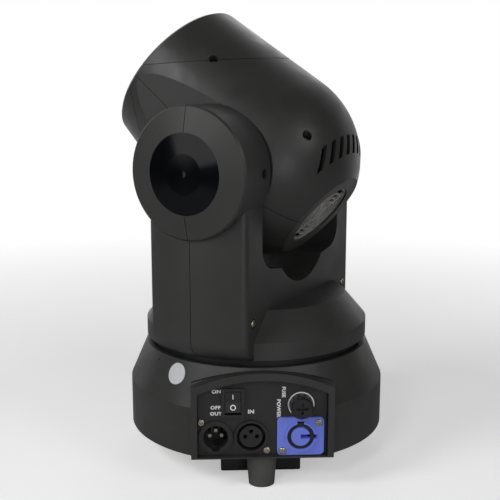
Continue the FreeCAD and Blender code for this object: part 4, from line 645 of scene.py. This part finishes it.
@dataclass
class BaseTrim:
    """What the base carries on its cone: a blank round sticker, and dark lines and discs that paint
    the shade in its pits, its parting line and the console's joint.

    A film is a thin shape that lies on the cone: its thickness, and how far its back stands off.
    """

    lip_radius: float = 80.4
    lip_height: float = 83.2
    shoulder_radius: float = 92.3
    shoulder_height: float = 56.0
    wrap_radius: float = 86.0
    sticker_heading: float = 227.6
    sticker_height: float = 74.2
    sticker_radius: float = 7.3
    sticker_film: tuple[float, float] = (0.12, 0.05)
    seam_heading: float = 270.0
    seam_below_lip: float = 1.9
    seam_size: tuple[float, float] = (0.4, 3.0)
    seam_steps: int = 4
    seam_film: tuple[float, float] = (0.1, 0.02)
    pits: tuple[tuple[float, float], ...] = ((212.2, 78.7), (270.3, 77.1))
    pit_radius: float = 0.8
    console_width: float = 94.6
    crown: float = 10.5
    crown_top: float = 81.4
    arch_steps: int = 48
    arch_share: float = 0.995
    line_radius: float = 0.45

    def cone_radius(self, height: float) -> float:
        """Return the cone's radius at a height."""
        share = (height - self.shoulder_height) / (self.lip_height - self.shoulder_height)
        return self.shoulder_radius + share * (self.lip_radius - self.shoulder_radius)

    def on_cone(self, heading: float, height: float, proud: float) -> Vector:
        """Return a point on the cone in metres.

        Args:
            heading: degrees about the pan axis, from +X.
            height: millimetres above the floor.
            proud: millimetres off the surface.

        Returns:
            The point.
        """
        lean = math.atan2(self.shoulder_radius - self.lip_radius,
                          self.lip_height - self.shoulder_height)
        radius = self.cone_radius(height) + proud * math.cos(lean)
        turn = math.radians(heading)
        return MM * Vector((radius * math.cos(turn), radius * math.sin(turn),
                            height + proud * math.sin(lean)))

    def wrap(self, shape: Shape, heading: float, height: float, proud: float) -> None:
        """Lay a flat shape, drawn in millimetres, onto the cone.

        Args:
            shape: X runs round the cone, Y up it and Z off it.
            heading: degrees about the pan axis of its middle.
            height: the height of its middle.
            proud: how far its back stands off the surface.
        """
        tall = self.lip_height - self.shoulder_height
        rise = tall / math.hypot(self.shoulder_radius - self.lip_radius, tall)
        for vert in shape.verts:
            turn = heading + math.degrees(vert.co.x / self.wrap_radius)
            vert.co = self.on_cone(turn, height + vert.co.y * rise, proud + vert.co.z)

    def stick_label(self) -> None:
        """Put the blank sticker on the cone."""
        thickness, proud = self.sticker_film
        label = disc(self.sticker_radius, thickness)
        self.wrap(label, self.sticker_heading, self.sticker_height, proud)
        piece_from(label, "blank_sticker", STICKER_PAPER, "base")

    def score_line(self) -> None:
        """Lay the short parting line between the lip and the console's arch, drawn dark as painted
        shade in its groove.
        """
        thickness, proud = self.seam_film
        line = bmesh.new()
        bmesh.ops.create_grid(line, x_segments=1, y_segments=self.seam_steps, size=0.5)
        bmesh.ops.scale(line, vec=(*self.seam_size, 1), verts=line.verts)
        bmesh.ops.solidify(line, geom=list(line.faces), thickness=thickness)
        bmesh.ops.recalc_face_normals(line, faces=line.faces)
        self.wrap(line, self.seam_heading, self.lip_height - self.seam_below_lip, proud)
        piece_from(line, "cone_parting_line_painted_shade", SEAM_SHADE, "base")

    def shade_pits(self) -> None:
        """Mark the two small moulded pits in the cone with dark discs: painted shade in the pits."""
        thickness, proud = self.seam_film
        pits = []
        for heading, height in self.pits:
            pit = disc(self.pit_radius, thickness)
            self.wrap(pit, heading, height, proud)
            pits.append(pit)
        piece_from(join(pits), "cone_pits_painted_shade", SEAM_SHADE, "base")

    def trace_arch(self) -> None:
        """Lay a dark line where the console's crown runs into the cone: painted shade in the groove
        of the joint.
        """
        half = self.console_width / 2
        radius = half ** 2 / (2 * self.crown) + self.crown / 2
        centre = self.crown_top - radius
        path = []
        for i in range(self.arch_steps + 1):
            across = half * (2 * i / self.arch_steps - 1) * self.arch_share
            height = centre + math.sqrt(radius ** 2 - across ** 2)
            back = -math.sqrt(self.cone_radius(height) ** 2 - across ** 2)
            path.append(Vector((across, back, height)))
        line = sweep(path, self.line_radius)
        piece_from(line, "arch_joint_painted_shade", SEAM_SHADE, "base")

    def dress(self) -> None:
        """Add the cone's own pieces."""
        self.stick_label()
        self.score_line()
        self.shade_pits()
        self.trace_arch()


@dataclass
class MenuTrim:
    """The printed words over the menu keys, on the side away from the connector panel."""

    face: float = 92.0
    row: float = 46.3
    first_key: float = 7.0
    key_step: float = 7.2
    letter: float = 1.25
    ink: float = 0.06
    labels: tuple[str, ...] = ("MENU", "UP", "DOWN", "ENTER")

    def dress(self) -> None:
        """Print one plain word over each key."""
        onto = Matrix(((-1, 0, 0, 0), (0, 0, 1, self.face * MM), (0, 1, 0, 0), (0, 0, 0, 1)))
        words = [Word(text, self.first_key + self.key_step * i, self.row, self.letter)
                 for i, text in enumerate(self.labels)]
        shape = join([word.mesh(onto, self.ink) for word in words])
        piece_from(shape, "menu_words", WHITE_INK, "base")


class Housings:
    """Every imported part, dressed by its material slot."""

    def dress(self, frame: dict) -> None:
        """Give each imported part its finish.
        """
        slots = {entry["node"]: entry["material_slot"] for entry in frame["record"]["subparts"]}
        for node, part in frame["nodes"].items():
            finish = SLOT_FINISHES[slots[node]]
            part.data.materials.clear()
            part.data.materials.append(finish.material())
            LOG.info("dressed %s in %s", node, finish.name)


def aim(holder: bpy.types.Object, place: Vector, target: Vector) -> None:
    """Stand a lamp or a camera at a place and point it at a target."""
    bpy.context.scene.collection.objects.link(holder)
    holder.location = place
    holder.rotation_euler = (target - place).to_track_quat("-Z", "Y").to_euler()


@dataclass
class SoftBox:
    """One square soft lamp, placed by its angle from the camera and its elevation in degrees."""

    name: str
    turn: float
    rise: float
    side: float
    power: float

    def hang(self, sight: float, middle: Vector, around: float) -> None:
        """Hang the lamp round the object.

        Args:
            sight: the heading from the middle to the camera, in radians.
            middle: the point that the lamp faces.
            around: how far from there it hangs.
        """
        heading, lift = sight + math.radians(self.turn), math.radians(self.rise)
        out = Vector((math.cos(lift) * math.cos(heading), math.cos(lift) * math.sin(heading),
                      math.sin(lift)))
        lamp = bpy.data.lights.new(self.name, "AREA")
        lamp.shape = "RECTANGLE"
        lamp.size = self.side
        lamp.size_y = self.side
        lamp.energy = self.power
        aim(bpy.data.objects.new(self.name, lamp), middle + out * around, middle)


@dataclass
class Studio:
    """The pale floor, the white surround, the lamps and the camera, in metres."""

    eye: tuple[float, float, float] = (-0.0325, -0.6375, 0.2695)
    target: tuple[float, float, float] = (-0.00468, 0.0002, 0.1466)
    lens: float = 64.08
    sensor: float = 36.0
    near_clip: float = 0.01
    floor_half: float = 3.0
    paper_tones: tuple[str, str] = ("#f2f2f2", "#f7f7f7")
    paper_patch_mm: float = 40.0
    paper_glow: float = 0.42
    paper_fade: tuple[float, float] = (0.25, 0.9)
    bounce: str = "#d0d0d0"
    surround: float = 0.05
    backdrop: tuple[float, float] = (0.3, 0.95)
    around: float = 1.3
    middle: tuple[float, float, float] = (0.0, 0.0, 0.17)
    lamps: list[SoftBox] = field(default_factory=lambda: [
        SoftBox("key_softbox", -58.0, 36.0, 0.4, 4.4),
        SoftBox("low_key_softbox", -55.0, 8.0, 0.4, 1.5),
        SoftBox("front_softbox", -20.0, 30.0, 0.3, 2.4),
        SoftBox("low_front_softbox", 20.0, 3.0, 0.4, 1.9),
        SoftBox("fill_softbox", 48.0, 28.0, 0.4, 2.2),
        SoftBox("back_softbox", 172.0, 30.0, 0.6, 1.4)])

    def hang_lamps(self) -> None:
        """Hang the lamps round the object."""
        sight = math.atan2(self.eye[1] - self.middle[1], self.eye[0] - self.middle[0])
        for lamp in self.lamps:
            lamp.hang(sight, Vector(self.middle), self.around)

    def seen(self, tree: Tree, place: Socket) -> Socket:
        """Return 1 for rays that see the white surround: the camera's, and those through glass.

        A mirrored ray sees it too, on the side behind the object, where a backdrop would hang; the
        room on the camera's side stays dark.

        Args:
            tree: the node tree of the floor or of the world.
            place: the point or the direction that the ray meets.

        Returns:
            The share of white.
        """
        path = add_node(tree, "ShaderNodeLightPath")
        split = add_node(tree, "ShaderNodeSeparateXYZ", {}, {"Vector": place})
        behind = add_node(tree, "ShaderNodeMapRange",
                          {"From Min": self.backdrop[0], "From Max": self.backdrop[1]},
                          {"Value": split.outputs["Y"]})
        mirrored = add_node(tree, "ShaderNodeMath", {"operation": "MULTIPLY"},
                            {0: path.outputs["Is Glossy Ray"], 1: behind.outputs["Result"]})
        through = add_node(tree, "ShaderNodeMath", {"operation": "MAXIMUM"}, {
            0: path.outputs["Is Camera Ray"], 1: path.outputs["Is Transmission Ray"]})
        most = add_node(tree, "ShaderNodeMath", {"operation": "MAXIMUM"},
                        {0: through.outputs[0], 1: mirrored.outputs[0]})
        return most.outputs[0]

    def floor_paper(self) -> bpy.types.Material:
        """Make the floor's paper: pale and shadowed near the object, pure white far from it."""
        paper = bpy.data.materials.new("pale_floor_paper")
        paper.use_nodes = True
        tree = paper.node_tree
        tree.nodes.clear()
        place = add_node(tree, "ShaderNodeTexCoord").outputs["Object"]
        clouds = add_node(tree, "ShaderNodeTexNoise",
                          {"Scale": repeats(self.paper_patch_mm), "Detail": 2.0}, {"Vector": place})
        tone = add_node(tree, "ShaderNodeValToRGB", {}, {"Fac": clouds.outputs["Fac"]})
        for stop, shade in zip(tone.color_ramp.elements, self.paper_tones):
            stop.color = linear(shade)
        matt = add_node(tree, "ShaderNodeBsdfDiffuse", {}, {"Color": tone.outputs["Color"]})
        lit = add_node(tree, "ShaderNodeEmission", {"Color": WHITE, "Strength": self.paper_glow})
        near = add_node(tree, "ShaderNodeAddShader", {}, {0: matt.outputs[0], 1: lit.outputs[0]})
        white = add_node(tree, "ShaderNodeEmission", {"Color": WHITE, "Strength": 1.0})
        far = add_node(tree, "ShaderNodeVectorMath", {"operation": "LENGTH"}, {0: place})
        fade = add_node(tree, "ShaderNodeMapRange",
                        {"From Min": self.paper_fade[0], "From Max": self.paper_fade[1]},
                        {"Value": far.outputs["Value"]})
        mixed = add_node(tree, "ShaderNodeMixShader", {}, {
            "Fac": fade.outputs["Result"], 1: near.outputs[0], 2: white.outputs[0]})
        dim = add_node(tree, "ShaderNodeBsdfDiffuse", {"Color": linear(self.bounce)})
        split = add_node(tree, "ShaderNodeMixShader", {}, {
            "Fac": self.seen(tree, place), 1: dim.outputs[0], 2: mixed.outputs[0]})
        add_node(tree, "ShaderNodeOutputMaterial", {}, {"Surface": split.outputs[0]})
        return paper

    def lay_floor(self) -> None:
        """Lay a pale floor that melts into the white surround but keeps the object's shadow."""
        plane = bmesh.new()
        bmesh.ops.create_grid(plane, x_segments=1, y_segments=1, size=self.floor_half)
        data = bpy.data.meshes.new("studio_floor")
        plane.to_mesh(data)
        plane.free()
        data.materials.append(self.floor_paper())
        floor = bpy.data.objects.new("studio_floor", data)
        bpy.context.scene.collection.objects.link(floor)

    def paint_surround(self) -> None:
        """Make the surround white to the eye and a faint light to the object."""
        world = bpy.data.worlds.new("studio_surround")
        world.use_nodes = True
        tree = world.node_tree
        tree.nodes.clear()
        heading = add_node(tree, "ShaderNodeTexCoord").outputs["Generated"]
        soft = add_node(tree, "ShaderNodeBackground", {"Color": WHITE, "Strength": self.surround})
        white = add_node(tree, "ShaderNodeBackground", {"Color": WHITE, "Strength": 1.0})
        split = add_node(tree, "ShaderNodeMixShader", {}, {
            "Fac": self.seen(tree, heading), 1: soft.outputs[0], 2: white.outputs[0]})
        add_node(tree, "ShaderNodeOutputWorld", {}, {"Surface": split.outputs[0]})
        bpy.context.scene.world = world

    def place_camera(self) -> None:
        """Stand the camera at the photograph's viewing angle."""
        camera = bpy.data.cameras.new("photo_camera")
        camera.lens = self.lens
        camera.sensor_width = self.sensor
        camera.clip_start = self.near_clip
        holder = bpy.data.objects.new("photo_camera", camera)
        aim(holder, Vector(self.eye), Vector(self.target))
        bpy.context.scene.camera = holder

    def build(self) -> None:
        """Set up the whole studio."""
        bpy.context.scene.view_settings.view_transform = "Standard"
        self.place_camera()
        self.lay_floor()
        self.paint_surround()
        self.hang_lamps()


def main() -> None:
    """Build the studio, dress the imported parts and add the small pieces."""
    logging.basicConfig(level=logging.INFO, format="%(name)s: %(message)s")
    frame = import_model()
    Studio().build()
    Housings().dress(frame)
    for trim in (ConnectorPanel(), BaseTrim(), MenuTrim()):
        trim.dress()


if __name__ == "__main__":
    main()
